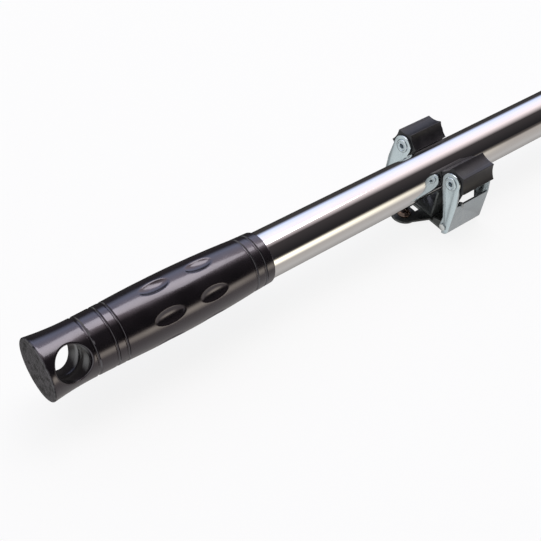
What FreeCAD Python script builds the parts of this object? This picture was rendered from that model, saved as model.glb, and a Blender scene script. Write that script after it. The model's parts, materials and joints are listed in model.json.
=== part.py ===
import FreeCAD, Part
import math
import os
import re
import Sketcher

# Breaker bar in its roller spring clip, millimetres.
# Row frame: origin at the centre of the clip's wall face, +X along the bar from the grip to the drive,
# +Y across the bar towards the far arm, +Z away from the wall.
# Bar pieces are drawn in bar coordinates: x from the grip's end face, y and z from the bar's axis.
# Clip pieces are drawn with x from the clip's middle, y and z from the bar's axis.

SIZES = [
    # name, millimetres (degrees for angles) or a formula of sizes above it, what it is
    ("axis_height", 27.5, "bar axis above the wall face"),
    ("clip_station", 251.2, "grip end face to the middle of the clip"),
    ("tube_radius", 12.5, "handle tube, outside"),
    ("tube_wall", 2.0, "handle tube, wall"),
    ("tube_start", 26.5, "tube's blind end inside the grip"),
    ("tube_end", 545.0, "tube's drive end"),
    ("grip_length", 120.9, "moulded grip, end face to front edge"),
    ("grip_end_wall", 3.0, "grip's wall over the tube radius: flared end"),
    ("grip_waist_wall", 1.8, "same, at the first ring groove"),
    ("grip_belly_wall", 2.1, "same, at the third groove"),
    ("grip_neck_wall", 1.45, "same, at the fourth groove"),
    ("grip_front_wall", 1.1, "same, at the front collar"),
    ("grip_end_radius", "tube_radius + grip_end_wall", "flared end of the grip"),
    ("grip_end_round", 1.3, "rounding of the end face's edge"),
    ("grip_waist_radius", "tube_radius + grip_waist_wall", "narrow waist at the first ring groove"),
    ("grip_flare_curve", 140.0, "hollow curve between end and waist"),
    ("grip_belly_start_radius", "tube_radius + grip_belly_wall", "belly's radius at the third groove"),
    ("grip_belly_curve", 620.0, "radius of the belly's long curve"),
    ("grip_neck_radius", "tube_radius + grip_neck_wall", "belly's radius at the fourth groove"),
    ("grip_front_radius", "tube_radius + grip_front_wall", "front collar"),
    ("grip_front_round", 0.9, "rounding of the front edge"),
    ("ring_1", 22.85, "ring groove stations along the grip"),
    ("ring_2", 32.2, ""),
    ("ring_3", 37.2, ""),
    ("ring_4_back", 11.1, "last two ring grooves behind the front edge"),
    ("ring_5_back", 5.6, ""),
    ("ring_4", "grip_length - ring_4_back", ""),
    ("ring_5", "grip_length - ring_5_back", ""),
    ("ring_cut_radius", 0.75, "round section of each ring groove"),
    ("hang_hole_station", 11.9, "hanging hole from the end face"),
    ("hang_hole_radius", 8.3, "hanging hole"),
    ("hang_hole_angle", 145.5, "hole's direction round the bar from +Y"),
    ("dimple_count", 6.0, "finger dimples round the grip"),
    ("dimple_row_1_ahead", 22.9, "first dimple row ahead of the third groove"),
    ("dimple_row_2_back", 24.8, "second dimple row behind the fourth groove"),
    ("dimple_row_1", "ring_3 + dimple_row_1_ahead", "dimple rows along the grip"),
    ("dimple_row_2", "ring_4 - dimple_row_2_back", ""),
    ("dimple_half_length", 8.6, "ellipsoid that cuts a dimple, along the bar"),
    ("dimple_half_width", 4.4, "same, round the bar"),
    ("dimple_half_depth", 2.6, "same, along the radius"),
    ("dimple_lift", 0.85, "ellipsoid's centre above the grip surface"),
    ("shank_length", 34.0, "fork shank pressed into the tube"),
    ("fork_step", 2.0, "fork's round stock over the tube"),
    ("fork_radius", "tube_radius + fork_step", "fork's round stock"),
    ("neck_inset", 0.5, "drive head's neck inside its shoulder"),
    ("fork_reach", 31.0, "tube end to the pivot"),
    ("slot_width", 12.8, "slot between the fork's cheeks"),
    ("slot_bottom_gap", 1.0, "slot bottom to the drive knuckle"),
    ("fork_bevel", 1.2, "bevel round the fork collar"),
    ("knuckle_inset", 1.5, "drive head's knuckle inside the fork's round"),
    ("knuckle_radius", "fork_radius - knuckle_inset", "drive head's round knuckle"),
    ("cheek_clearance", 0.2, "drive head to each cheek"),
    ("shoulder_gap", 0.7, "fork's round end to the drive head's shoulder"),
    ("neck_reach", "fork_radius + shoulder_gap", "pivot to the drive head's shoulder"),
    ("shoulder_radius", 9.6, "shoulder behind the square"),
    ("shoulder_length", 3.2, "shoulder behind the square"),
    ("square_size", 12.7, "drive square across flats"),
    ("square_length", 15.8, "drive square"),
    ("square_bevel", 0.9, "bevel at the square's tip"),
    ("pivot_radius", 3.6, "pivot pin"),
    ("running_clearance", 0.05, "radial clearance of running fits"),
    ("pivot_head_radius", 5.6, "countersunk ends of the pivot pin"),
    ("pivot_head_depth", 2.0, ""),
    ("cross_pin_radius", 2.0, "pin that holds the shank in the tube"),
    ("cross_pin_back", 15.0, "cross pin behind the tube end"),
    ("plunger_radius", 3.0, "friction ball in the fork"),
    ("plunger_bore", 13.0, "depth of its bore"),
    ("lock_ball_radius", 2.0, "socket-retaining ball"),
    ("lock_ball_stand", 0.7, "ball above the square's flat"),
    ("lock_ball_back", 8.2, "ball behind the square's tip"),
    ("lock_bore_depth", 8.0, "bore below the square's flat"),
    ("wire_ratio", 0.16, "small compression springs: wire over coil radius"),
    ("compression_turns", 6.0, "their turns"),
    ("sheet", 1.2, "arm sheet thickness"),
    ("plate", 1.5, "base plate thickness"),
    ("arm_width", 27.0, "arm along the bar"),
    ("axle_z", 6.4, "roller axle above the bar's axis"),
    ("flute_count", 6.0, "flutes round a roller"),
    ("flute_floor", 7.15, "roller centre to the bottom of a flute"),
    ("flute_slack", 0.4, "hollow of a flute over the bar's radius"),
    ("flute_radius", "tube_radius + flute_slack", "hollow of a flute"),
    ("roller_gap", 0.3042, "bar to the bottom of the flute that faces it"),
    ("axle_y", "sqrt((tube_radius + roller_gap + flute_floor) ^ 2 - axle_z ^ 2)",
     "roller axle from the bar's axis, across"),
    ("ear_radius", 6.0, "ear's round top"),
    ("ear_throat_gap", 1.6, "ear's inner corner beside the bar"),
    ("ear_throat_y", "tube_radius + ear_throat_gap", "ear's inner corner"),
    ("ear_throat_z", 1.6, ""),
    ("web_top", -5.4, "web's top edge"),
    ("coil_radius", 2.3, "torsion spring, middle of the wire"),
    ("wire_radius", 0.45, "torsion spring's wire"),
    ("leg_gap", 0.05, "torsion spring's leg above the base plate"),
    ("hinge_rise", "plate + leg_gap + wire_radius + coil_radius", "arm hinge above the wall face"),
    ("foot_gap", 0.1, "curled foot above the wall face"),
    ("curl_radius", "hinge_rise - foot_gap", "web's curled foot, outside, centred on the hinge"),
    ("hinge_out", 3.5, "arm hinge outside the roller axle"),
    ("hinge_y", "axle_y + hinge_out", "arm hinge across"),
    ("hinge_z", "hinge_rise - axis_height", "arm hinge below the bar's axis"),
    ("waist_in", 1.9, "ear's inner edge low down, inside the hinge"),
    ("waist_up", 6.2, "same, above the hinge"),
    ("ear_waist_y", "hinge_y - waist_in", "ear's inner edge low down"),
    ("ear_waist_z", "hinge_z + waist_up", ""),
    ("hinge_pin_radius", 1.25, "hinge pin"),
    ("lobe_radius", 2.6, "ear's lobe round the hinge pin"),
    ("axle_radius", 2.8, "roller axle, a tubular rivet"),
    ("axle_bore", 1.3, "rivet's bore"),
    ("axle_head_radius", 3.9, "rivet's rolled heads"),
    ("axle_head", 0.8, "head's thickness"),
    ("sleeve_wall", 1.3, "roller's sleeve"),
    ("roller_side_gap", 0.25, "roller to each ear"),
    ("roller_radius", 9.1, "roller over its ribs"),
    ("lug_gap", 0.4, "base lug to the arm's ear"),
    ("lug_radius", 2.4, "base lug's round end"),
    ("lug_foot", 6.4, "a lug's foot along the plate's edge"),
    ("plate_inset", 2.4, "plate's edge inside the hinge"),
    ("plate_half_y", "hinge_y - plate_inset", "base plate across the bar"),
    ("lug_root", "plate_half_y - lug_foot", "where a lug rises from the plate, across the bar"),
    ("screw_out", 8.1, "mounting screw beyond the arms"),
    ("screw_station", "arm_width / 2 + screw_out", "mounting screw from the clip's middle"),
    ("tab_radius", 7.4, "round end of each screw tab"),
    ("tab_root_half_y", 11.4, "tab's half width at the plate"),
    ("window_in", 2.7, "square window beside each tab: nearer edge inside the arm's end"),
    ("window_out", 1.3, "window's farther edge outside it"),
    ("window_near", "arm_width / 2 - window_in", "window's nearer edge"),
    ("window_far", "arm_width / 2 + window_out", "window's farther edge"),
    ("window_half_y", 2.6, "window across the bar"),
    ("cradle_sheet", 1.2, "cradle sheet"),
    ("cradle_inset", 2.3, "cradle wall's inner face inside the bar's radius"),
    ("cradle_inner_y", "tube_radius - cradle_inset", "cradle wall's inner face"),
    ("cradle_end_inset", 3.1, "cradle's ends inside the arm's ends"),
    ("cradle_half_x", "arm_width / 2 - cradle_end_inset", "cradle along the bar"),
    ("cradle_gap", 0.15, "bar to the cradle's edges"),
    ("rivet_station", 6.3, "cradle rivets across the bar"),
    ("rivet_radius", 1.5, "cradle rivets"),
    ("rivet_head_radius", 2.7, ""),
    ("rivet_head", 0.9, ""),
    ("screw_radius", 2.0, "mounting screw's shank"),
    ("screw_head_radius", 4.1, "pan head"),
    ("screw_head", 2.3, "pan head's height"),
    ("screw_crown", 0.72, "pan head's flat top, share of its radius"),
    ("screw_slot", 1.0, "driver slot's width"),
    ("screw_slot_depth", 1.1, ""),
    ("screw_length", 16.0, "shank beyond the wall face"),
    ("screw_slack", 0.25, "tab hole round the screw"),
    ("pin_recess", 0.4, "pin ends below the surface"),
    ("pin_head", 0.8, "hinge pin's rolled heads"),
    ("spring_side", 0.35, "compression springs inside their bores"),
    ("lock_ball_travel", 0.7, "lock ball's travel into the square"),
    ("coil_turns", 5.25, "torsion spring's turns"),
    ("coil_spread", 1.08, "torsion spring's pitch over its wire"),
    ("coil_station", 6.2, "torsion spring's middle, beside the arm's"),
    ("base_leg", 8.0, "torsion spring's leg on the base"),
    ("hook_bend", 0.9, "bend radius of the spring's hook"),
    ("hook_drop", 2.2, "hook's free end"),
]

doc = FreeCAD.newDocument("BreakerBar")
sheet = doc.addObject("Spreadsheet::Sheet", "Sizes")
NAMES = [row[0] for row in SIZES]
WORD = re.compile(r"[a-z]+(?:_[a-z0-9]+)+|sheet|plate")
SUB_PARTS = []


def fill_sheet():
    """Write each size into the sheet under its own alias."""
    for number, (name, value, note) in enumerate(SIZES, start=1):
        sheet.set(f"A{number}", name)
        sheet.set(f"B{number}", f"={value}" if isinstance(value, str) else str(value))
        sheet.set(f"C{number}", note)
        sheet.setAlias(f"B{number}", name)
    doc.recompute()


def bound(text):
    """Turn a formula of size names into one that reads the sheet."""
    return WORD.sub(lambda m: "Sizes." + m.group(0) if m.group(0) in NAMES else m.group(0), str(text))


def value(text):
    """The present value of a formula of size names."""
    return float(sheet.evalExpression(bound(text).replace("Sizes.", "")))


def new_body(label, x="0", z="axis_height", turn=0.0):
    """A body placed in the row frame by formulas; turn is about +Z, in degrees."""
    body = doc.addObject("PartDesign::Body", label)
    body.Label = label
    body.Placement = FreeCAD.Placement(
        FreeCAD.Vector(value(x), 0, value(z)), FreeCAD.Rotation(FreeCAD.Vector(0, 0, 1), turn)
    )
    body.setExpression("Placement.Base.x", bound(x))
    body.setExpression("Placement.Base.z", bound(z))
    SUB_PARTS.append(body)
    return body


def new_sketch(body, role, offset="0", tilt=None):
    """A sketch on one of the body's origin planes, moved along its normal and tilted about its x axis."""
    sketch = body.newObject("Sketcher::SketchObject", "Sketch")
    plane = [item for item in body.Origin.OriginFeatures if item.Role == role][0]
    sketch.AttachmentSupport = [(plane, "")]
    sketch.MapMode = "FlatFace"
    if tilt is None:
        sketch.setExpression("AttachmentOffset.Base.z", bound(offset))
        return sketch
    # a tilted plane: the offset runs along the tilted normal
    sketch.AttachmentOffset = FreeCAD.Placement(
        FreeCAD.Vector(0, 0, 0), FreeCAD.Rotation(FreeCAD.Vector(1, 0, 0), value(tilt))
    )
    sketch.setExpression("AttachmentOffset.Rotation.Angle", bound(f"({tilt}) * 1 deg"))
    sketch.setExpression("AttachmentOffset.Base.y", bound(f"-({offset}) * sin(({tilt}) * 1 deg)"))
    sketch.setExpression("AttachmentOffset.Base.z", bound(f"({offset}) * cos(({tilt}) * 1 deg)"))
    return sketch


def pin_point(sketch, element, end, x, y):
    """Hold one point of a sketch at formulas for its x and y."""
    for kind, formula in (("DistanceX", x), ("DistanceY", y)):
        number = sketch.addConstraint(
            Sketcher.Constraint(kind, -1, 1, element, end, value(formula))
        )
        sketch.setExpression(f"Constraints[{number}]", bound(formula))


def size_constraint(sketch, kind, element, formula):
    """Give a circle or an arc its radius by a formula."""
    number = sketch.addConstraint(Sketcher.Constraint(kind, element, value(formula)))
    sketch.setExpression(f"Constraints[{number}]", bound(formula))


def circle(sketch, x, y, radius):
    """A circle at formulas for its centre and radius."""
    centre = FreeCAD.Vector(value(x), value(y), 0)
    ring = Part.Circle(centre, FreeCAD.Vector(0, 0, 1), value(radius))
    element = sketch.addGeometry(ring, False)
    pin_point(sketch, element, 3, x, y)
    size_constraint(sketch, "Radius", element, radius)


def arc_between(start, end, radius, side):
    """The minor arc from start to end; side +1 bulges to the left of the chord, -1 to the right."""
    chord = end - start
    half = chord.Length / 2
    rise = math.sqrt(max(radius * radius - half * half, 0.0))
    left = FreeCAD.Vector(-chord.y, chord.x, 0).normalize()
    centre = start + chord * 0.5 - left * (side * rise)
    angle_a = math.atan2(start.y - centre.y, start.x - centre.x)
    angle_b = math.atan2(end.y - centre.y, end.x - centre.x)
    ring = Part.Circle(centre, FreeCAD.Vector(0, 0, 1), radius)
    if side > 0:
        return Part.ArcOfCircle(ring, angle_b, angle_a if angle_a > angle_b else angle_a + 2 * math.pi), True
    return Part.ArcOfCircle(ring, angle_a, angle_b if angle_b > angle_a else angle_b + 2 * math.pi), False


def outline(sketch, points):
    """A closed outline: each point is (x, y), or (x, y, radius, side) when an arc leaves it."""
    count = len(points)
    places = [FreeCAD.Vector(value(p[0]), value(p[1]), 0) for p in points]
    ends = []
    for i, point in enumerate(points):
        start, end = places[i], places[(i + 1) % count]
        if len(point) == 2:
            element = sketch.addGeometry(Part.LineSegment(start, end), False)
            ends.append((element, 1, 2))
            continue
        arc, reversed_ends = arc_between(start, end, value(point[2]), point[3])
        element = sketch.addGeometry(arc, False)
        ends.append((element, 2, 1) if reversed_ends else (element, 1, 2))
    for i in range(count):
        element, start_end, far_end = ends[i]
        after, after_start, _ = ends[(i + 1) % count]
        sketch.addConstraint(Sketcher.Constraint("Coincident", element, far_end, after, after_start))
        pin_point(sketch, element, start_end, points[i][0], points[i][1])
        if len(points[i]) > 2:
            size_constraint(sketch, "Radius", element, points[i][2])


def rectangle(sketch, x0, y0, x1, y1):
    """A rectangle between two corners given as formulas."""
    outline(sketch, [(x0, y0), (x1, y0), (x1, y1), (x0, y1)])


def pad(body, sketch, length):
    """Add the sketch's outline along its normal."""
    feature = body.newObject("PartDesign::Pad", "Pad")
    feature.Profile = sketch
    feature.setExpression("Length", bound(length))
    doc.recompute()
    return feature


def pocket(body, sketch, length, along=False):
    """Cut the sketch's outline against its normal, or along it, and make sure that it cut something."""
    before = body.Shape.Volume
    feature = body.newObject("PartDesign::Pocket", "Pocket")
    feature.Profile = sketch
    feature.Reversed = along
    feature.setExpression("Length", bound(length))
    doc.recompute()
    if not body.Shape.Volume < before - 1e-3:
        raise RuntimeError(f"{body.Label}: a pocket cut nothing")
    return feature


def turned(body, sketch, cut=False):
    """Turn the sketch's outline once round its own x axis, as a solid or as a cut."""
    before = body.Shape.Volume if cut else 0.0
    feature = body.newObject("PartDesign::Groove" if cut else "PartDesign::Revolution", "Turned")
    feature.Profile = sketch
    feature.ReferenceAxis = (sketch, ["H_Axis"])
    feature.Angle = 360.0
    doc.recompute()
    if cut and not body.Shape.Volume < before - 1e-3:
        raise RuntimeError(f"{body.Label}: a groove cut nothing")
    return feature


def dress(body, kind, size, wanted):
    """Round or bevel the edges that wanted() picks on the body's present shape."""
    base = body.Tip
    names = [f"Edge{i}" for i, edge in enumerate(base.Shape.Edges, start=1) if wanted(edge)]
    if not names:
        raise RuntimeError(f"{body.Label}: no edge to {kind}")
    feature = body.newObject(f"PartDesign::{kind}", kind)
    feature.Base = (base, names)
    feature.setExpression("Radius" if kind == "Fillet" else "Size", bound(size))
    doc.recompute()
    return feature


def round_bar(label, radius, start, end, bore=None, **place):
    """A turned rod or tube along x between two stations."""
    body = new_body(label, **place)
    sketch = new_sketch(body, "XY_Plane")
    inner = bore if bore else "0"
    rectangle(sketch, start, inner, end, radius)
    turned(body, sketch)
    return body


# ---------------------------------------------------------------- the bar

BAR = {"x": "-clip_station"}
PIVOT = "tube_end + fork_reach"
TIP = f"{PIVOT} + neck_reach + shoulder_length + square_length"
SLOT_BOTTOM = f"{PIVOT} - knuckle_radius - slot_bottom_gap"


def grip_radius_at(ring):
    """Formula for the grip's outer radius at a ring groove."""
    slope = "(grip_neck_radius - grip_front_radius) / (grip_length - grip_front_round - ring_4)"
    return {
        "ring_1": "grip_waist_radius",
        "ring_2": "grip_waist_radius + (grip_belly_start_radius - grip_waist_radius)"
                  " * (ring_2 - ring_1) / (ring_3 - ring_1)",
        "ring_3": "grip_belly_start_radius",
        "ring_4": "grip_neck_radius",
        "ring_5": f"grip_neck_radius - {slope} * (ring_5 - ring_4)",
    }[ring]


def make_grip():
    """Moulded grip: flared end, waist, belly, ring grooves, hanging hole and finger dimples."""
    body = new_body("grip_shell", **BAR)
    profile = new_sketch(body, "XY_Plane")
    outline(profile, grip_profile())
    turned(body, profile)
    for ring in ("ring_1", "ring_2", "ring_3", "ring_4", "ring_5"):
        cut = new_sketch(body, "XY_Plane")
        circle(cut, ring, grip_radius_at(ring), "ring_cut_radius")
        turned(body, cut, cut=True)
    hole = new_sketch(body, "XY_Plane", offset="2 * grip_end_radius", tilt="hang_hole_angle - 90")
    circle(hole, "hang_hole_station", "0", "hang_hole_radius")
    pocket(body, hole, "4 * grip_end_radius")
    make_dimples(body)
    return body


def grip_profile():
    """Half section of the grip above its axis, anticlockwise from the end face's centre."""
    return [
        ("0", "0"),
        ("tube_start", "0"),
        ("tube_start", "tube_radius"),
        ("grip_length", "tube_radius"),
        ("grip_length", "grip_front_radius - grip_front_round", "grip_front_round", -1),
        ("grip_length - grip_front_round", "grip_front_radius"),
        ("ring_4", "grip_neck_radius", "grip_belly_curve", -1),
        ("ring_3", "grip_belly_start_radius"),
        ("ring_1", "grip_waist_radius", "grip_flare_curve", 1),
        ("grip_end_round", "grip_end_radius", "grip_end_round", -1),
        ("0", "grip_end_radius - grip_end_round"),
    ]


def make_dimples(body):
    """Two rows of lens-shaped finger dimples round the belly."""
    originals = []
    for row in ("dimple_row_1", "dimple_row_2"):
        tool = body.newObject("PartDesign::SubtractiveEllipsoid", "Dimple")
        # Radius2 lies across, Radius3 along the bar, Radius1 along the radius
        tool.setExpression("Radius1", bound("dimple_half_depth"))
        tool.setExpression("Radius2", bound("dimple_half_length"))
        tool.setExpression("Radius3", bound("dimple_half_width"))
        tool.Angle1, tool.Angle2, tool.Angle3 = -90, 90, 360
        angle = math.radians(value("hang_hole_angle"))
        radius = value("grip_end_radius + dimple_lift")
        tool.Placement = FreeCAD.Placement(
            FreeCAD.Vector(value(row), radius * math.cos(angle), radius * math.sin(angle)),
            FreeCAD.Rotation(FreeCAD.Vector(1, 0, 0), value("hang_hole_angle") - 90),
        )
        tool.setExpression("Placement.Base.x", bound(row))
        for axis, turn in (("y", "cos"), ("z", "sin")):
            reach = f"(grip_end_radius + dimple_lift) * {turn}(hang_hole_angle * 1 deg)"
            tool.setExpression(f"Placement.Base.{axis}", bound(reach))
        doc.recompute()
        originals.append(tool)
    pattern = body.newObject("PartDesign::PolarPattern", "DimpleRing")
    pattern.Originals = originals
    pattern.Axis = ([item for item in body.Origin.OriginFeatures if item.Role == "X_Axis"][0], [""])
    pattern.Angle = 360.0
    pattern.Occurrences = int(value("dimple_count"))
    body.Tip = pattern
    doc.recompute()


def make_tube():
    """Chromed handle tube."""
    body = round_bar("handle_tube", "tube_radius", "tube_start", "tube_end",
                     bore="tube_radius - tube_wall", **BAR)
    drill_cross_hole(body, "cross_pin_radius")
    return body


def drill_cross_hole(body, radius):
    """The cross pin's hole through tube and shank."""
    hole = new_sketch(body, "XZ_Plane", offset="2 * tube_radius")
    circle(hole, "tube_end - cross_pin_back", "0", radius)
    pocket(body, hole, "4 * tube_radius")


def make_fork():
    """Forged fork: shank, collar and two cheeks with the pivot hole."""
    body = new_body("fork_yoke", **BAR)
    profile = new_sketch(body, "XY_Plane")
    outline(profile, [
        ("tube_end - shank_length", "0"),
        (f"{PIVOT} + fork_radius", "0"),
        (f"{PIVOT} + fork_radius", "fork_radius"),
        ("tube_end + fork_bevel", "fork_radius"),
        ("tube_end", "fork_radius - fork_bevel"),
        ("tube_end", "tube_radius - tube_wall"),
        ("tube_end - shank_length", "tube_radius - tube_wall"),
    ])
    turned(body, profile)
    round_cheek_ends(body)
    slot = new_sketch(body, "XY_Plane", offset="2 * fork_radius")
    rectangle(slot, SLOT_BOTTOM, "-slot_width / 2", f"{PIVOT} + 2 * fork_radius", "slot_width / 2")
    pocket(body, slot, "4 * fork_radius")
    hole = new_sketch(body, "XZ_Plane", offset="2 * fork_radius")
    circle(hole, PIVOT, "0", "pivot_radius")
    pocket(body, hole, "4 * fork_radius")
    for side in (-1, 1):
        sink = new_sketch(body, "XZ_Plane", offset=f"{side} * fork_radius")
        circle(sink, PIVOT, "0", "pivot_head_radius")
        pocket(body, sink, "pivot_head_depth", along=side < 0)
    bore = new_sketch(body, "YZ_Plane", offset=SLOT_BOTTOM)
    circle(bore, "0", "0", "plunger_radius + running_clearance")
    pocket(body, bore, "plunger_bore")
    drill_cross_hole(body, "cross_pin_radius")
    return body


def round_cheek_ends(body):
    """Round the cheeks about the pivot, so that the drive head's shoulder can swing past them."""
    corner = new_sketch(body, "XZ_Plane", offset="2 * fork_radius")
    outline(corner, [
        (PIVOT, "fork_radius", "fork_radius", 1),
        (f"{PIVOT} + fork_radius", "0"),
        (f"{PIVOT} + 2 * fork_radius", "0"),
        (f"{PIVOT} + 2 * fork_radius", "2 * fork_radius"),
        (PIVOT, "2 * fork_radius"),
    ])
    pocket(body, corner, "4 * fork_radius")
    corner = new_sketch(body, "XZ_Plane", offset="2 * fork_radius")
    outline(corner, [
        (f"{PIVOT} + fork_radius", "0", "fork_radius", 1),
        (PIVOT, "-fork_radius"),
        (PIVOT, "-2 * fork_radius"),
        (f"{PIVOT} + 2 * fork_radius", "-2 * fork_radius"),
        (f"{PIVOT} + 2 * fork_radius", "0"),
    ])
    pocket(body, corner, "4 * fork_radius")


def make_cross_pin():
    """Pin through tube and shank, flush with the tube."""
    body = new_body("cross_pin", **BAR)
    sketch = new_sketch(body, "XZ_Plane", offset="-tube_radius + pin_recess")
    circle(sketch, "tube_end - cross_pin_back", "0", "cross_pin_radius")
    pad(body, sketch, "2 * tube_radius - 2 * pin_recess")
    return body


def make_pivot_pin():
    """Pivot pin with a flat head in each cheek."""
    body = new_body("pivot_pin", **BAR)
    shank = new_sketch(body, "XZ_Plane", offset="-fork_radius + pivot_head_depth")
    circle(shank, PIVOT, "0", "pivot_radius")
    pad(body, shank, "2 * fork_radius - 2 * pivot_head_depth")
    for start in ("-fork_radius + pin_recess", "fork_radius - pivot_head_depth"):
        head = new_sketch(body, "XZ_Plane", offset=start)
        circle(head, PIVOT, "0", "pivot_head_radius")
        pad(body, head, "pivot_head_depth - pin_recess")
    return body


def make_drive_head():
    """Drive head: round knuckle, neck, shoulder and bevelled square with the lock ball's bore."""
    body = new_body("drive_head", **BAR)
    half = "(slot_width / 2 - cheek_clearance)"
    disc = new_sketch(body, "XZ_Plane", offset=f"-{half}")
    circle(disc, PIVOT, "0", "knuckle_radius")
    pad(body, disc, f"2 * {half}")
    neck = new_sketch(body, "XZ_Plane", offset=f"-{half}")
    rectangle(neck, PIVOT, "-shoulder_radius + neck_inset", f"{PIVOT} + neck_reach + neck_inset",
              "shoulder_radius - neck_inset")
    pad(body, neck, f"2 * {half}")
    shoulder = new_sketch(body, "YZ_Plane", offset=f"{PIVOT} + neck_reach")
    circle(shoulder, "0", "0", "shoulder_radius")
    pad(body, shoulder, "shoulder_length")
    square = new_sketch(body, "YZ_Plane", offset=f"{PIVOT} + neck_reach + shoulder_length")
    rectangle(square, "-square_size / 2", "-square_size / 2", "square_size / 2", "square_size / 2")
    pad(body, square, "square_length")
    tip = value(TIP)
    dress(body, "Chamfer", "square_bevel",
          lambda edge: all(abs(vertex.X - tip) < 1e-4 for vertex in edge.Vertexes))
    pivot = new_sketch(body, "XZ_Plane", offset="2 * fork_radius")
    circle(pivot, PIVOT, "0", "pivot_radius + running_clearance")
    pocket(body, pivot, "4 * fork_radius")
    bore = new_sketch(body, "XY_Plane", offset="square_size / 2")
    circle(bore, f"{TIP} - lock_ball_back", "0", "lock_ball_radius + running_clearance")
    pocket(body, bore, "lock_bore_depth")
    return body


def make_ball(label, radius, x, z="0"):
    """A hardened ball in bar coordinates."""
    body = new_body(label, x=f"-clip_station + {x}", z=f"axis_height + {z}")
    ball = body.newObject("PartDesign::AdditiveSphere", "Ball")
    ball.setExpression("Radius", bound(radius))
    doc.recompute()
    return body


def make_coil_spring(label, x, z, radius, length, direction):
    """A compression spring wound along direction from (x, z) in bar coordinates."""
    spring = doc.addObject("Part::Feature", label)
    spring.Label = label
    coil, long = value(radius), value(length)
    wire = coil * value("wire_ratio")
    closed_ends = 3 * wire
    rise = long - closed_ends
    helix = Part.makeHelix(rise / value("compression_turns"), rise, coil)
    section = Part.Wire(Part.Circle(FreeCAD.Vector(coil, 0, 0), FreeCAD.Vector(0, 1, 0), wire).toShape())
    solid = Part.Wire(helix).makePipeShell([section], True, True)
    spring.Shape = solid
    along = FreeCAD.Vector(*direction)
    seat = FreeCAD.Vector(value(x) - value("clip_station"), 0, value(z) + value("axis_height"))
    spring.Placement = FreeCAD.Placement(
        seat + along * (closed_ends / 2), FreeCAD.Rotation(FreeCAD.Vector(0, 0, 1), along))
    SUB_PARTS.append(spring)
    return spring


def make_bar():
    """Every piece of the bar, from the grip to the drive square."""
    make_grip()
    make_tube()
    make_fork()
    make_cross_pin()
    make_pivot_pin()
    make_drive_head()
    knuckle_face = f"{PIVOT} - knuckle_radius"
    make_ball("friction_ball", "plunger_radius", f"{knuckle_face} - plunger_radius - running_clearance")
    make_coil_spring("friction_spring", f"{SLOT_BOTTOM} - plunger_bore", "0", "plunger_radius - 2 * spring_side",
                     "plunger_bore + slot_bottom_gap - 2 * plunger_radius - 2 * running_clearance", (1, 0, 0))
    ball_z = "square_size / 2 + lock_ball_stand - lock_ball_radius"
    make_ball("lock_ball", "lock_ball_radius", f"{TIP} - lock_ball_back", ball_z)
    make_coil_spring("lock_spring", f"{TIP} - lock_ball_back", "square_size / 2 - lock_bore_depth",
                     "lock_ball_radius - 2 * spring_side",
                     "lock_bore_depth + lock_ball_stand - 2 * lock_ball_radius - lock_ball_travel", (0, 0, 1))


# ---------------------------------------------------------------- the clip

SIDES = {"far": 0.0, "near": 180.0}
WALL = "-axis_height"
PLATE_TOP = "(-axis_height + plate)"
PLATE_HALF_X = "(arm_width / 2 - sheet - lug_gap)"
INSIDE = "(arm_width / 2 - sheet)"
WEB_Y = "(hinge_y + curl_radius)"
HINGE_HOLE = "hinge_pin_radius + running_clearance"


def make_arm(side):
    """Sheet arm: a web with an ear folded in at each end, round the axle above and the hinge below."""
    body = new_body(f"arm_{side}", turn=SIDES[side])
    ear = [
        ("axle_y + ear_radius", "axle_z", "ear_radius", -1),
        ("axle_y", "axle_z + ear_radius", "ear_radius", -1),
        ("axle_y - ear_radius", "axle_z"),
        ("ear_throat_y", "ear_throat_z"),
        ("ear_waist_y", "ear_waist_z"),
        ("hinge_y - lobe_radius", "hinge_z", "lobe_radius", -1),
        ("hinge_y", "hinge_z - lobe_radius"),
        ("hinge_y", "hinge_z - curl_radius", "curl_radius", -1),
        ("hinge_y + curl_radius", "hinge_z"),
        ("hinge_y + curl_radius", "web_top"),
    ]
    for start in ("-arm_width / 2", INSIDE):
        sketch = new_sketch(body, "YZ_Plane", offset=start)
        outline(sketch, ear)
        if start == INSIDE:
            web = new_sketch(body, "YZ_Plane", offset="-arm_width / 2")
            outline(web, [
                (f"{WEB_Y} - sheet", "web_top"),
                (f"{WEB_Y} - sheet", "hinge_z", "curl_radius - sheet", 1),
                ("hinge_y", "hinge_z - curl_radius + sheet"),
                ("hinge_y", "hinge_z - curl_radius", "curl_radius", -1),
                (WEB_Y, "hinge_z"),
                (WEB_Y, "web_top"),
            ])
            pad(body, web, "arm_width")
        pad(body, sketch, "sheet")
    for y, z, radius in (("axle_y", "axle_z", "axle_radius"), ("hinge_y", "hinge_z", HINGE_HOLE)):
        hole = new_sketch(body, "YZ_Plane", offset="arm_width")
        circle(hole, y, z, radius)
        pocket(body, hole, "2 * arm_width")
    return body


def make_axle(side):
    """Tubular rivet that carries the roller, with a rolled head outside each ear."""
    body = new_body(f"axle_rivet_{side}", turn=SIDES[side])
    for start, length, radius in (
        ("-arm_width / 2 - axle_head", "arm_width + 2 * axle_head", "axle_radius"),
        ("-arm_width / 2 - axle_head", "axle_head", "axle_head_radius"),
        ("arm_width / 2", "axle_head", "axle_head_radius"),
    ):
        sketch = new_sketch(body, "YZ_Plane", offset=start)
        circle(sketch, "axle_y", "axle_z", radius)
        pad(body, sketch, length)
    bore = new_sketch(body, "YZ_Plane", offset="arm_width")
    circle(bore, "axle_y", "axle_z", "axle_bore")
    pocket(body, bore, "2 * arm_width")
    return body


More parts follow.
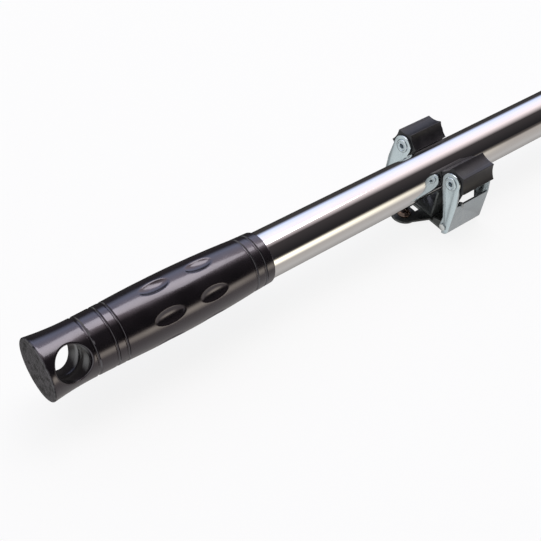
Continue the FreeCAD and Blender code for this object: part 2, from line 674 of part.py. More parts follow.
def make_sleeve(side):
    """Thin sleeve inside the roller, turning on the axle."""
    body = new_body(f"roller_sleeve_{side}", turn=SIDES[side])
    sketch = new_sketch(body, "YZ_Plane", offset=f"-{INSIDE} + roller_side_gap / 2")
    circle(sketch, "axle_y", "axle_z", "axle_radius + running_clearance + sleeve_wall")
    circle(sketch, "axle_y", "axle_z", "axle_radius + running_clearance")
    pad(body, sketch, f"2 * {INSIDE} - roller_side_gap")
    return body


def make_roller(side):
    """Rubber roller with hollow flutes; one flute faces the bar at rest."""
    body = new_body(f"roller_{side}", turn=SIDES[side])
    start = f"-{INSIDE} + roller_side_gap"
    blank = new_sketch(body, "YZ_Plane", offset=start)
    circle(blank, "axle_y", "axle_z", "roller_radius")
    circle(blank, "axle_y", "axle_z", "axle_radius + running_clearance + sleeve_wall")
    pad(body, blank, f"2 * {INSIDE} - 2 * roller_side_gap")
    reach = "(flute_floor + flute_radius)"
    for number in range(int(value("flute_count"))):
        angle = f"((atan2(-axle_z; -axle_y) / 1 deg + 360 / flute_count * {number}) * 1 deg)"
        flute = new_sketch(body, "YZ_Plane", offset="arm_width")
        circle(flute, f"axle_y + {reach} * cos({angle})", f"axle_z + {reach} * sin({angle})", "flute_radius")
        pocket(body, flute, "2 * arm_width")
    return body


def make_hinge_pin(side):
    """Pin through the arm's ears and the base's lugs, headed at both ends."""
    body = new_body(f"hinge_pin_{side}", turn=SIDES[side])
    for start, length, radius in (
        ("-arm_width / 2 - pin_head", "arm_width + 2 * pin_head", "hinge_pin_radius"),
        ("-arm_width / 2 - pin_head", "pin_head", "hinge_pin_radius + pin_head"),
        ("arm_width / 2", "pin_head", "hinge_pin_radius + pin_head"),
    ):
        sketch = new_sketch(body, "YZ_Plane", offset=start)
        circle(sketch, "hinge_y", "hinge_z", radius)
        pad(body, sketch, length)
    return body


def make_base_plate():
    """Base plate with an upturned lug at each hinge and a screw tab at each end."""
    body = new_body("base_plate")
    floor = new_sketch(body, "XY_Plane", offset=WALL)
    rectangle(floor, f"-{PLATE_HALF_X}", "-plate_half_y", PLATE_HALF_X, "plate_half_y")
    pad(body, floor, "plate")
    for side in ("-1 * ", ""):
        tab = new_sketch(body, "XY_Plane", offset=WALL)
        points = [
            (f"{side}({PLATE_HALF_X} - plate)", "-tab_root_half_y"),
            (f"{side}{PLATE_HALF_X}", "-tab_root_half_y"),
            (f"{side}screw_station", "-tab_radius", "tab_radius", -1 if side == "" else 1),
            (f"{side}(screw_station + tab_radius)", "0", "tab_radius", -1 if side == "" else 1),
            (f"{side}screw_station", "tab_radius"),
            (f"{side}{PLATE_HALF_X}", "tab_root_half_y"),
            (f"{side}({PLATE_HALF_X} - plate)", "tab_root_half_y"),
        ]
        outline(tab, points)
        pad(body, tab, "plate")
        window = new_sketch(body, "XY_Plane", offset=PLATE_TOP)
        rectangle(window, f"{side}window_near", "-window_half_y", f"{side}window_far", "window_half_y")
        pocket(body, window, "plate")
        for across in ("-1 * ", ""):
            make_lug(body, side, across)
    holes = new_sketch(body, "XY_Plane", offset=PLATE_TOP)
    for side in ("-1 * ", ""):
        circle(holes, f"{side}screw_station", "0", "screw_radius + screw_slack")
        circle(holes, "0", f"{side}rivet_station", "rivet_radius")
    pocket(body, holes, "plate")
    return body


def make_lug(body, side, across):
    """One upturned lug at the plate's edge, with the hinge pin's hole."""
    start = f"-{PLATE_HALF_X}" if side else f"{PLATE_HALF_X} - plate"
    lug = new_sketch(body, "YZ_Plane", offset=start)
    turn = 1 if across else -1
    outline(lug, [
        (f"{across}lug_root", f"{PLATE_TOP} - plate / 2"),
        (f"{across}lug_root", f"{PLATE_TOP} + lug_radius"),
        (f"{across}hinge_y", "hinge_z + lug_radius", "lug_radius", -turn),
        (f"{across}(hinge_y + lug_radius)", "hinge_z", "lug_radius", -turn),
        (f"{across}hinge_y", "hinge_z - lug_radius"),
        (f"{across}plate_half_y", f"{PLATE_TOP}"),
        (f"{across}plate_half_y", f"{PLATE_TOP} - plate / 2"),
    ])
    pad(body, lug, "plate")
    hole = new_sketch(body, "YZ_Plane", offset=f"{start} + plate")
    circle(hole, f"{across}hinge_y", "hinge_z", "hinge_pin_radius")
    pocket(body, hole, "plate")


def make_cradle():
    """Channel whose two upright edges carry the bar."""
    body = new_body("cradle")
    half = "cradle_half_x"
    outer = "(cradle_inner_y + cradle_sheet)"
    rest = "(-sqrt(tube_radius ^ 2 - cradle_inner_y ^ 2) - cradle_gap)"
    section = new_sketch(body, "YZ_Plane", offset=f"-{half}")
    outline(section, [
        (f"-{outer}", PLATE_TOP),
        (outer, PLATE_TOP),
        (outer, rest),
        ("cradle_inner_y", rest),
        ("cradle_inner_y", f"{PLATE_TOP} + cradle_sheet"),
        ("-cradle_inner_y", f"{PLATE_TOP} + cradle_sheet"),
        ("-cradle_inner_y", rest),
        (f"-{outer}", rest),
    ])
    pad(body, section, f"2 * {half}")
    holes = new_sketch(body, "XY_Plane", offset=f"{PLATE_TOP} + cradle_sheet")
    for side in ("-1 * ", ""):
        circle(holes, "0", f"{side}rivet_station", "rivet_radius")
    pocket(body, holes, "cradle_sheet")
    return body


def revolved_studs(label, stations, profile):
    """Several turned pieces on upright axes: one profile, repeated at each station."""
    body = doc.addObject("Part::Compound", label)
    links = []
    for number, (x, y) in enumerate(stations):
        sketch = doc.addObject("Sketcher::SketchObject", f"{label}_section_{number}")
        outline(sketch, profile)
        stud = doc.addObject("Part::Revolution", f"{label}_stud_{number}")
        stud.Source = sketch
        stud.Axis = FreeCAD.Vector(0, 1, 0)
        stud.Base = FreeCAD.Vector(0, 0, 0)
        stud.Angle = 360.0
        stud.Solid = True
        stud.Placement = FreeCAD.Placement(
            FreeCAD.Vector(value(x), value(y), 0), FreeCAD.Rotation(FreeCAD.Vector(1, 0, 0), 90))
        stud.setExpression("Placement.Base.x", bound(x))
        stud.setExpression("Placement.Base.y", bound(y))
        links.append(stud)
    body.Label = label
    body.Links = links
    doc.recompute()
    SUB_PARTS.append(body)
    return body


def make_cradle_rivets():
    """Two rivets that hold the cradle on the base plate, flush with the wall face."""
    top = "plate + cradle_sheet"
    profile = [
        ("0", "0"),
        ("rivet_radius", "0"),
        ("rivet_radius", top),
        ("rivet_head_radius", top),
        ("rivet_radius", f"{top} + rivet_head"),
        ("0", f"{top} + rivet_head"),
    ]
    return revolved_studs("cradle_rivets", [("0", "-rivet_station"), ("0", "rivet_station")], profile)


def make_screws():
    """Two pan-head screws, one in each tab, reaching into the wall."""
    profile = [
        ("0", "-screw_length"),
        ("screw_radius", "-screw_length + 2 * screw_radius"),
        ("screw_radius", "plate"),
        ("screw_head_radius", "plate"),
        ("screw_head_radius", "plate + screw_head / 3"),
        ("screw_head_radius * screw_crown", "plate + screw_head"),
        ("0", "plate + screw_head"),
    ]
    stations = [("-screw_station", "0"), ("screw_station", "0")]
    screws = revolved_studs("screw_blanks", stations, profile)
    SUB_PARTS.remove(screws)
    slots = []
    for number, (x, _) in enumerate(stations):
        slot = doc.addObject("Part::Box", f"screw_slot_{number}")
        slot.setExpression("Length", bound("screw_slot"))
        slot.setExpression("Width", bound("4 * screw_head_radius"))
        slot.setExpression("Height", bound("2 * screw_slot_depth"))
        slot.setExpression("Placement.Base.x", bound(f"{x} - screw_slot / 2"))
        slot.setExpression("Placement.Base.y", bound("-2 * screw_head_radius"))
        slot.setExpression("Placement.Base.z", bound("plate + screw_head - screw_slot_depth"))
        slots.append(slot)
    slots_together = doc.addObject("Part::Compound", "screw_slots")
    slots_together.Links = slots
    cut = doc.addObject("Part::Cut", "mounting_screws")
    cut.Label = "mounting_screws"
    cut.Base = screws
    cut.Tool = slots_together
    doc.recompute()
    SUB_PARTS.append(cut)
    return cut


def bent_wire(points, bend):
    """A wire through the points, each corner rounded to the bend radius."""
    edges = []
    start = points[0]
    for before, corner, after in zip(points, points[1:], points[2:]):
        arriving = (corner - before).normalize()
        leaving = (after - corner).normalize()
        half_turn = arriving.getAngle(leaving) / 2
        cut = bend * math.tan(half_turn)
        first, last = corner - arriving * cut, corner + leaving * cut
        middle = corner + (leaving - arriving).normalize() * (bend / math.cos(half_turn) - bend)
        edges.append(Part.LineSegment(start, first).toShape())
        edges.append(Part.Arc(first, middle, last).toShape())
        start = last
    edges.append(Part.LineSegment(start, points[-1]).toShape())
    return Part.Wire(edges)


def swept_wire(path, start, direction, radius):
    """A round wire swept along a path."""
    section = Part.Wire(Part.Circle(start, direction, radius).toShape())
    return path.makePipeShell([section], True, True)


def make_torsion_spring(side):
    """Torsion spring round the hinge pin: a leg on the base, the other hooked over the web's edge."""
    coil, wire = value("coil_radius"), value("wire_radius")
    pitch = 2 * wire * value("coil_spread")
    length = pitch * value("coil_turns")
    station = value("coil_station")
    hinge = FreeCAD.Vector(station - length / 2, value("hinge_y"), value("hinge_z"))
    across, up = FreeCAD.Vector(0, 1, 0), FreeCAD.Vector(0, 0, 1)
    helix = Part.Wire(Part.makeHelix(pitch, length, coil))
    winding = swept_wire(helix, FreeCAD.Vector(coil, 0, 0), across, wire)
    winding.Placement = FreeCAD.Placement(hinge, FreeCAD.Rotation(across, 90))
    foot = hinge - up * coil
    base_leg = Part.makeCylinder(wire, value("base_leg"), foot, across * -1)
    top = value("web_top + 2 * wire_radius")
    near, far = value("hinge_y + coil_radius"), value(f"{WEB_Y} + 1.5 * wire_radius")
    x = station + length / 2
    points = [
        FreeCAD.Vector(x, near, hinge.z),
        FreeCAD.Vector(x, near, top),
        FreeCAD.Vector(x, far, top),
        FreeCAD.Vector(x, far, top - value("hook_drop")),
    ]
    arm_leg = swept_wire(bent_wire(points, value("hook_bend")), points[0], up, wire)
    ends = [Part.makeSphere(wire, foot), Part.makeSphere(wire, points[0])]
    spring = doc.addObject("Part::Feature", f"torsion_spring_{side}")
    spring.Label = f"torsion_spring_{side}"
    spring.Shape = winding.fuse([base_leg, arm_leg] + ends)
    spring.Placement = FreeCAD.Placement(
        FreeCAD.Vector(0, 0, value("axis_height")), FreeCAD.Rotation(up, SIDES[side]))
    SUB_PARTS.append(spring)


def make_clip():
    """Every piece of the clip: base, cradle, screws and the two sprung roller arms."""
    make_base_plate()
    make_cradle()
    make_cradle_rivets()
    make_screws()
    for side in SIDES:
        make_hinge_pin(side)
        make_arm(side)
        make_torsion_spring(side)
        make_axle(side)
        make_sleeve(side)
        make_roller(side)


# ---------------------------------------------------------------- build, check, write


def check_document():
    """Stop if any object failed or any sub-part has no sound shape."""
    for item in doc.Objects:
        if {"Invalid", "Error"} & set(item.State):
            raise RuntimeError(f"{item.Label} failed: {item.State}")
    for part in SUB_PARTS:
        if part.Shape.isNull() or not part.Shape.isValid() or not part.Shape.Solids:
            raise RuntimeError(f"{part.Label} has no sound solid")


def write_parts():
    """Write each sub-part to its own STEP file."""
    os.makedirs("parts", exist_ok=True)
    for part in SUB_PARTS:
        part.Shape.exportStep(f"parts/{part.Label}.step")
        print(f"{part.Label}: {len(part.Shape.Solids)} solid(s), {part.Shape.Volume:.1f} mm3")


def main():
    """Build the bar and its clip, check every piece and write it."""
    fill_sheet()
    make_bar()
    make_clip()
    doc.recompute()
    check_document()
    write_parts()


main()
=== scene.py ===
"""Looks of a breaker bar held in a sprung roller clip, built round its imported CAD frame."""

from __future__ import annotations

import json
import logging
import math
from dataclasses import dataclass, field
from enum import Enum
from typing import Iterable, Sequence

import bmesh
import bpy
from mathutils import Matrix, Vector

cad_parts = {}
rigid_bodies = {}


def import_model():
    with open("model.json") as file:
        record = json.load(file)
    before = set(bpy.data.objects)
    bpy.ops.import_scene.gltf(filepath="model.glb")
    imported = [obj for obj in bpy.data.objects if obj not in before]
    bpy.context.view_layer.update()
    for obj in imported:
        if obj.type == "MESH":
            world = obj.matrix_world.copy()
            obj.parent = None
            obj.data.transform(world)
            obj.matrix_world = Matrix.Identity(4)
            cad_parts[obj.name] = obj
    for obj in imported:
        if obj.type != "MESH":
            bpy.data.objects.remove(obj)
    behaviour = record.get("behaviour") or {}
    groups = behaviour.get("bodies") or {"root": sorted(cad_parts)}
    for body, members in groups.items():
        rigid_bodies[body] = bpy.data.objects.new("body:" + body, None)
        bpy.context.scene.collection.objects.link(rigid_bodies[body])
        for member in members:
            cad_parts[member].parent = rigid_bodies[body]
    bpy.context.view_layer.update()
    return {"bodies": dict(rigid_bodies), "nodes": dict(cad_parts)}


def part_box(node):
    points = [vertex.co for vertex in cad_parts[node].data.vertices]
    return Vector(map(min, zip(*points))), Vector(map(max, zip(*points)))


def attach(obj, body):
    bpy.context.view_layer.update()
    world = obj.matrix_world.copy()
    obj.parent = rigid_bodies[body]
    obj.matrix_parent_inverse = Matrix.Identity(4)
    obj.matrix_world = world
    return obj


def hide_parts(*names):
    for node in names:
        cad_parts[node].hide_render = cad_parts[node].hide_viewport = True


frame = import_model()
LOG = logging.getLogger("breaker_bar")
MM = 0.001
TINY = 1e-6


class Side(Enum):
    """The two arms of the clip; the value is the sign of their side across the bar."""

    FAR = 1
    NEAR = -1

    @property
    def word(self) -> str:
        """The side's word in node and body names."""
        return self.name.lower()


# ---------------------------------------------------------------- shader groups


class NodeSheet:
    """A small helper that places and joins shader nodes in one node tree."""

    def __init__(self, tree: bpy.types.NodeTree) -> None:
        """Keep the tree.

        Args:
            tree: the material's, world's or group's node tree.
        """
        self.tree = tree
        self.step = 0

    def add(self, kind: str, **settings: object) -> bpy.types.Node:
        """Place one node and set its properties.

        Args:
            kind: the node's type name.
            settings: properties of the node by name.

        Returns:
            The new node.
        """
        node = self.tree.nodes.new(kind)
        node.location = (180.0 * self.step, -120.0 * (self.step % 4))
        self.step += 1
        for name, setting in settings.items():
            setattr(node, name, setting)
        return node

    def join(self, source: bpy.types.NodeSocket, target: bpy.types.NodeSocket) -> None:
        """Link two sockets."""
        self.tree.links.new(source, target)

    def feed(self, place: bpy.types.NodeSocket, item: object) -> None:
        """Give an input a number, a colour or another node's output."""
        if isinstance(item, bpy.types.NodeSocket):
            self.join(item, place)
        else:
            place.default_value = (*item, 1.0) if isinstance(item, tuple) else item

    def maths(self, operation: str, *inputs: object) -> bpy.types.NodeSocket:
        """Place a Math node whose inputs are numbers or sockets, and return its output."""
        node = self.add("ShaderNodeMath", operation=operation)
        for place, item in zip(node.inputs, inputs):
            self.feed(place, item)
        return node.outputs[0]

    def noise(self, vector: bpy.types.NodeSocket, scale: object, detail: float = 3.0,
              distortion: float = 0.0) -> bpy.types.NodeSocket:
        """Place a noise texture and return its value."""
        node = self.add("ShaderNodeTexNoise")
        for name, item in (("Vector", vector), ("Scale", scale), ("Detail", detail),
                           ("Distortion", distortion)):
            self.feed(node.inputs[name], item)
        return node.outputs[0]

    def span(self, value: bpy.types.NodeSocket, low: float, high: float,
             to_low: object = 0.0, to_high: object = 1.0) -> bpy.types.NodeSocket:
        """Map a value from one span to another, clamped, and return the result."""
        node = self.add("ShaderNodeMapRange")
        for name, item in (("Value", value), ("From Min", low), ("From Max", high), ("To Min", to_low),
                           ("To Max", to_high)):
            self.feed(node.inputs[name], item)
        return node.outputs["Result"]

    def mix(self, amount: object, first: object, second: object) -> bpy.types.NodeSocket:
        """Mix two colours, given or from sockets, and return the result."""
        node = self.add("ShaderNodeMix", data_type="RGBA")
        for place, item in ((0, amount), (6, first), (7, second)):
            self.feed(node.inputs[place], item)
        return node.outputs[2]


def new_group(name: str, inputs: Sequence[tuple[str, float]],
              outputs: Sequence[str]) -> tuple[bpy.types.NodeTree, NodeSheet, bpy.types.Node,
                                               bpy.types.Node]:
    """Start a shader group with a Vector input, named number inputs and number outputs.

    Args:
        name: the group's name.
        inputs: each number input's name and usual value.
        outputs: the outputs' names.

    Returns:
        The tree, its node sheet and its input and output nodes.
    """
    tree = bpy.data.node_groups.new(name, "ShaderNodeTree")
    tree.interface.new_socket("Vector", in_out="INPUT", socket_type="NodeSocketVector")
    for label, usual in inputs:
        socket = tree.interface.new_socket(label, in_out="INPUT", socket_type="NodeSocketFloat")
        socket.default_value = usual
    for label in outputs:
        tree.interface.new_socket(label, in_out="OUTPUT", socket_type="NodeSocketFloat")
    sheet = NodeSheet(tree)
    return tree, sheet, sheet.add("NodeGroupInput"), sheet.add("NodeGroupOutput")


class EffectGroups:
    """Effects that several finishes share, each built once."""

    def __init__(self) -> None:
        """Build every group."""
        self.mottle = self._mottle()
        self.drawn_grain = self._drawn_grain()
        self.edge_wear = self._edge_wear()
        self.handling = self._handling()

    @staticmethod
    def _mottle() -> bpy.types.NodeTree:
        """Moulding texture: a fine skin height and a slow cloudiness."""
        tree, sheet, source, sink = new_group(
            "moulded_skin", (("Grain Scale", 2500.0), ("Cloud Scale", 60.0)), ("Height", "Cloud"))
        for output, scale, detail in (("Height", "Grain Scale", 2.0), ("Cloud", "Cloud Scale", 4.0)):
            value = sheet.noise(source.outputs["Vector"], source.outputs[scale], detail)
            sheet.join(value, sink.inputs[output])
        return tree

    @staticmethod
    def _drawn_grain() -> bpy.types.NodeTree:
        """Long fine streaks along X, as drawn tube and rolled sheet have."""
        tree, sheet, source, sink = new_group(
            "drawn_grain", (("Streak Scale", 900.0), ("Stretch", 0.03)), ("Streak",))
        split = sheet.add("ShaderNodeSeparateXYZ")
        sheet.join(source.outputs["Vector"], split.inputs[0])
        merge = sheet.add("ShaderNodeCombineXYZ")
        sheet.join(sheet.maths("MULTIPLY", split.outputs[0], source.outputs["Stretch"]), merge.inputs[0])
        sheet.join(split.outputs[1], merge.inputs[1])
        sheet.join(split.outputs[2], merge.inputs[2])
        streak = sheet.noise(merge.outputs[0], source.outputs["Streak Scale"], 5.0)
        sheet.join(streak, sink.inputs["Streak"])
        return tree

    @staticmethod
    def _edge_wear() -> bpy.types.NodeTree:
        """A mask that is high on worn outer edges and broken up by noise."""
        tree, sheet, source, sink = new_group(
            "edge_wear", (("Reach", 0.08), ("Break Up", 700.0)), ("Worn",))
        geometry = sheet.add("ShaderNodeNewGeometry")
        lift = sheet.maths("SUBTRACT", geometry.outputs["Pointiness"], 0.5)
        raw = sheet.maths("DIVIDE", lift, source.outputs["Reach"])
        speckle = sheet.noise(source.outputs["Vector"], source.outputs["Break Up"], 2.0)
        broken = sheet.maths("MULTIPLY", raw, speckle)
        sheet.join(sheet.span(broken, 0.12, 0.75), sink.inputs["Worn"])
        return tree

    @staticmethod
    def _handling() -> bpy.types.NodeTree:
        """Faint smears and hairline scratches that lift roughness."""
        tree, sheet, source, sink = new_group(
            "handling_marks", (("Smear Scale", 38.0), ("Scratch Scale", 240.0)), ("Smear", "Scratch"))
        smear = sheet.noise(source.outputs["Vector"], source.outputs["Smear Scale"], 6.0, 1.2)
        sheet.join(sheet.span(smear, 0.45, 0.75), sink.inputs["Smear"])
        scratch = sheet.add("ShaderNodeTexVoronoi", feature="DISTANCE_TO_EDGE")
        sheet.join(source.outputs["Vector"], scratch.inputs["Vector"])
        sheet.join(source.outputs["Scratch Scale"], scratch.inputs["Scale"])
        sheet.join(sheet.span(scratch.outputs[0], 0.0, 0.012, 1.0, 0.0), sink.inputs["Scratch"])
        return tree


# ---------------------------------------------------------------- finishes


@dataclass(frozen=True)
class Finish:
    """One surface finish and how it varies.

    Attributes:
        name: the material's name, as the record's slot.
        colour: its base colour, linear.
        cloud_colour: the colour its cloudiness drifts to.
        worn_colour: the colour of rubbed edges.
        metallic: 1 for bare metal.
        roughness: its lowest and highest roughness.
        coat: clear coat weight.
        bump: height of the fine texture in millimetres.
        grain: scale of the fine texture.
        cloud: scale of the slow cloudiness.
        drawn: True where the fine texture is drawn out along the bar.
        wear: strength of the edge wear.
        specular: specular level of a non-metal.
        tint: colour of a non-metal's reflections.
    """

    name: str
    colour: tuple[float, float, float]
    cloud_colour: tuple[float, float, float]
    worn_colour: tuple[float, float, float]
    metallic: float = 0.0
    roughness: tuple[float, float] = (0.3, 0.4)
    coat: float = 0.0
    bump: float = 0.01
    grain: float = 2500.0
    cloud: float = 60.0
    drawn: bool = False
    wear: float = 0.3
    specular: float = 0.5
    tint: tuple[float, float, float] = (1.0, 1.0, 1.0)

    def build(self, groups: EffectGroups) -> bpy.types.Material:
        """Make the material.

        Args:
            groups: the shared effects.

        Returns:
            The finished material.
        """
        material = bpy.data.materials.new(self.name)
        material.use_nodes = True
        material.node_tree.nodes.clear()
        sheet = NodeSheet(material.node_tree)
        place = sheet.add("ShaderNodeTexCoord").outputs["Object"]
        skin = self._effect(sheet, groups.mottle, place,
                            {"Grain Scale": self.grain, "Cloud Scale": self.cloud})
        wear = self._effect(sheet, groups.edge_wear, place, {})
        marks = self._effect(sheet, groups.handling, place, {})
        height = skin.outputs["Height"]
        if self.drawn:
            drawn = self._effect(sheet, groups.drawn_grain, place, {"Streak Scale": self.grain})
            height = drawn.outputs["Streak"]
        shader = sheet.add("ShaderNodeBsdfPrincipled")
        shader.inputs["Metallic"].default_value = self.metallic
        shader.inputs["Coat Weight"].default_value = self.coat
        shader.inputs["Coat Roughness"].default_value = 0.06
        shader.inputs["Specular IOR Level"].default_value = self.specular
        shader.inputs["Specular Tint"].default_value = (*self.tint, 1.0)
        self._colour(sheet, shader, skin, wear)
        self._roughness(sheet, shader, skin, marks, place)
        self._bump(sheet, shader, height, place)
        self._dull(sheet, shader, place)
        out = sheet.add("ShaderNodeOutputMaterial")
        sheet.join(shader.outputs[0], out.inputs["Surface"])
        return material

    @staticmethod
    def _effect(sheet: NodeSheet, tree: bpy.types.NodeTree, place: bpy.types.NodeSocket,
                values: dict[str, float]) -> bpy.types.Node:
        """Place a shared effect with this finish's own values."""
        node = sheet.add("ShaderNodeGroup")
        node.node_tree = tree
        sheet.join(place, node.inputs["Vector"])
        for name, number in values.items():
            node.inputs[name].default_value = number
        return node

    def _colour(self, sheet: NodeSheet, shader: bpy.types.Node, skin: bpy.types.Node,
                wear: bpy.types.Node) -> None:
        """Drift the colour with the cloudiness and rub it off along edges."""
        drift = sheet.mix(sheet.span(skin.outputs["Cloud"], 0.35, 0.65), self.colour, self.cloud_colour)
        amount = sheet.maths("MULTIPLY", wear.outputs["Worn"], self.wear)
        sheet.join(sheet.mix(amount, drift, self.worn_colour), shader.inputs["Base Color"])

    def _roughness(self, sheet: NodeSheet, shader: bpy.types.Node, skin: bpy.types.Node,
                   marks: bpy.types.Node, place: bpy.types.NodeSocket) -> None:
        """Vary the roughness with cloudiness, smears and scratches."""
        low, high = self.roughness
        base = sheet.span(skin.outputs["Cloud"], 0.3, 0.7, low, high)
        smeared = sheet.maths("MULTIPLY_ADD", marks.outputs["Smear"], (high - low) * 0.6, base)
        scratched = sheet.maths("MULTIPLY_ADD", marks.outputs["Scratch"], (high - low) * 0.5, smeared)
        sheet.join(self._extra_roughness(sheet, scratched, place), shader.inputs["Roughness"])

    def _extra_roughness(self, sheet: NodeSheet, value: bpy.types.NodeSocket,
                         place: bpy.types.NodeSocket) -> bpy.types.NodeSocket:
        """A place for a finish to add its own roughness; most add none."""
        return value

    def _bump(self, sheet: NodeSheet, shader: bpy.types.Node, height: bpy.types.NodeSocket,
              place: bpy.types.NodeSocket) -> None:
        """Turn the fine texture into a bump."""
        bump = sheet.add("ShaderNodeBump")
        bump.inputs["Distance"].default_value = self.bump * MM
        bump.inputs["Strength"].default_value = 1.0
        sheet.join(self._extra_height(sheet, height, place), bump.inputs["Height"])
        sheet.join(bump.outputs[0], shader.inputs["Normal"])

    def _extra_height(self, sheet: NodeSheet, height: bpy.types.NodeSocket,
                      place: bpy.types.NodeSocket) -> bpy.types.NodeSocket:
        """A place for a finish to add its own relief; most add none."""
        return height

    def _dull(self, sheet: NodeSheet, shader: bpy.types.Node, place: bpy.types.NodeSocket) -> None:
        """A place for a finish to dull its shine somewhere; most do not."""


@dataclass(frozen=True)
class GripFinish(Finish):
    """Glossy moulded plastic whose flat end face is stippled and matt.

    Attributes:
        stipple_from: the end face's place along the bar, in metres.
        stipple_depth: how far in from the end face the stipple reaches, in metres.
        stipple_scale: size of the stipple.
        patch_scale: size of the end face's matt and shiny patches.
        stipple_strength: the stipple's height, in units of the fine texture's height.
        face_shine: least and most share of the shine that the end face keeps, in patches.
    """

    stipple_from: float = 0.0
    stipple_depth: float = 0.0006
    stipple_scale: float = 760.0
    stipple_strength: float = 46.0
    patch_scale: float = 420.0
    face_shine: tuple[float, float] = (0.2, 1.3)

    def _on_end_face(self, sheet: NodeSheet, place: bpy.types.NodeSocket) -> bpy.types.NodeSocket:
        """A mask that is 1 on the end face and 0 elsewhere."""
        split = sheet.add("ShaderNodeSeparateXYZ")
        sheet.join(place, split.inputs[0])
        start = self.stipple_from + self.stipple_depth
        return sheet.span(split.outputs[0], start, start + 0.0002, 1.0, 0.0)

    def _extra_roughness(self, sheet: NodeSheet, value: bpy.types.NodeSocket,
                         place: bpy.types.NodeSocket) -> bpy.types.NodeSocket:
        """The end face is matt in patches."""
        patches = sheet.span(sheet.noise(place, self.patch_scale, 5.0), 0.36, 0.62, 0.08, 0.5)
        return sheet.maths("MULTIPLY_ADD", self._on_end_face(sheet, place), patches, value)

    def _extra_height(self, sheet: NodeSheet, height: bpy.types.NodeSocket,
                      place: bpy.types.NodeSocket) -> bpy.types.NodeSocket:
        """The end face carries a coarse stipple."""
        stipple = sheet.noise(place, self.stipple_scale, 4.0)
        here = sheet.maths("MULTIPLY", stipple, self._on_end_face(sheet, place))
        strong = sheet.maths("MULTIPLY", here, self.stipple_strength)
        return sheet.maths("ADD", height, strong)

    def _dull(self, sheet: NodeSheet, shader: bpy.types.Node, place: bpy.types.NodeSocket) -> None:
        """The end face keeps only part of the shine."""
        shine = sheet.span(sheet.noise(place, self.patch_scale, 5.0), 0.4, 0.6, *self.face_shine)
        lost = sheet.maths("MULTIPLY", self._on_end_face(sheet, place), sheet.maths("SUBTRACT", 1.0, shine))
        kept = sheet.maths("SUBTRACT", 1.0, lost)
        for name, usual in (("Coat Weight", self.coat), ("Specular IOR Level", self.specular)):
            sheet.join(sheet.maths("MULTIPLY", kept, usual), shader.inputs[name])


class Finishes:
    """Every finish of the bar and its clip."""

    def __init__(self, groups: EffectGroups) -> None:
        """Build the materials.

        Args:
            groups: the shared effects.
        """
        grip_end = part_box("grip_shell")[0][0]
        recipes = (
            GripFinish("grip_plastic", (0.0052, 0.0045, 0.0055), (0.0085, 0.007, 0.0085), (0.04, 0.036, 0.04),
                       roughness=(0.15, 0.23), coat=0.5, bump=0.004, grain=1500.0, cloud=90.0, wear=0.3,
                       specular=0.8, tint=(0.97, 0.88, 1.0), stipple_from=grip_end),
            Finish("tube_chrome", (0.74, 0.735, 0.73), (0.78, 0.775, 0.77), (0.85, 0.85, 0.85),
                   metallic=1.0, roughness=(0.04, 0.09), bump=0.0012, grain=700.0, cloud=30.0, drawn=True,
                   wear=0.2),
            Finish("forged_steel", (0.56, 0.56, 0.57), (0.64, 0.64, 0.64), (0.8, 0.8, 0.8), metallic=1.0,
                   roughness=(0.16, 0.3), bump=0.012, grain=900.0, cloud=120.0, wear=0.6),
            Finish("pin_steel", (0.52, 0.52, 0.53), (0.6, 0.6, 0.6), (0.75, 0.75, 0.75), metallic=1.0,
                   roughness=(0.2, 0.36), bump=0.006, grain=1800.0, cloud=300.0, wear=0.5),
            Finish("ball_steel", (0.62, 0.62, 0.63), (0.66, 0.66, 0.66), (0.8, 0.8, 0.8), metallic=1.0,
                   roughness=(0.06, 0.12), bump=0.001, grain=2500.0, cloud=400.0, wear=0.2),
            Finish("spring_steel", (0.36, 0.36, 0.37), (0.46, 0.45, 0.44), (0.6, 0.6, 0.6), metallic=1.0,
                   roughness=(0.26, 0.4), bump=0.004, grain=2200.0, cloud=500.0, wear=0.3),
            Finish("zinc_sheet", (0.48, 0.54, 0.58), (0.54, 0.6, 0.635), (0.8, 0.82, 0.84), metallic=1.0,
                   roughness=(0.2, 0.38), bump=0.008, grain=1300.0, cloud=260.0, wear=0.7),
            Finish("black_sheet", (0.022, 0.023, 0.023), (0.036, 0.037, 0.036), (0.2, 0.21, 0.21),
                   metallic=0.4, roughness=(0.24, 0.38), bump=0.006, grain=1600.0, cloud=200.0, wear=0.5),
            Finish("screw_brass", (0.11, 0.08, 0.07), (0.24, 0.16, 0.13), (0.6, 0.46, 0.38), metallic=1.0,
                   roughness=(0.14, 0.28), bump=0.004, grain=1800.0, cloud=500.0, wear=0.7),
            Finish("roller_rubber", (0.0085, 0.0078, 0.0095), (0.014, 0.0128, 0.015), (0.05, 0.046, 0.052),
                   roughness=(0.34, 0.46), bump=0.02, grain=1700.0, cloud=180.0, wear=0.5, specular=0.42),
        )
        self.by_slot = {recipe.name: recipe.build(groups) for recipe in recipes}

    def dress(self, piece: bpy.types.Object, slot: str) -> None:
        """Give a new piece its finish, the material named after the slot."""
        piece.data.materials.clear()
        piece.data.materials.append(self.by_slot[slot])

    def dress_node(self, node: str, slot: str) -> None:
        """Give a CAD node's material slots their finish."""
        for place in frame["nodes"][node].material_slots:
            place.material = self.by_slot[slot]


# ---------------------------------------------------------------- mesh helpers


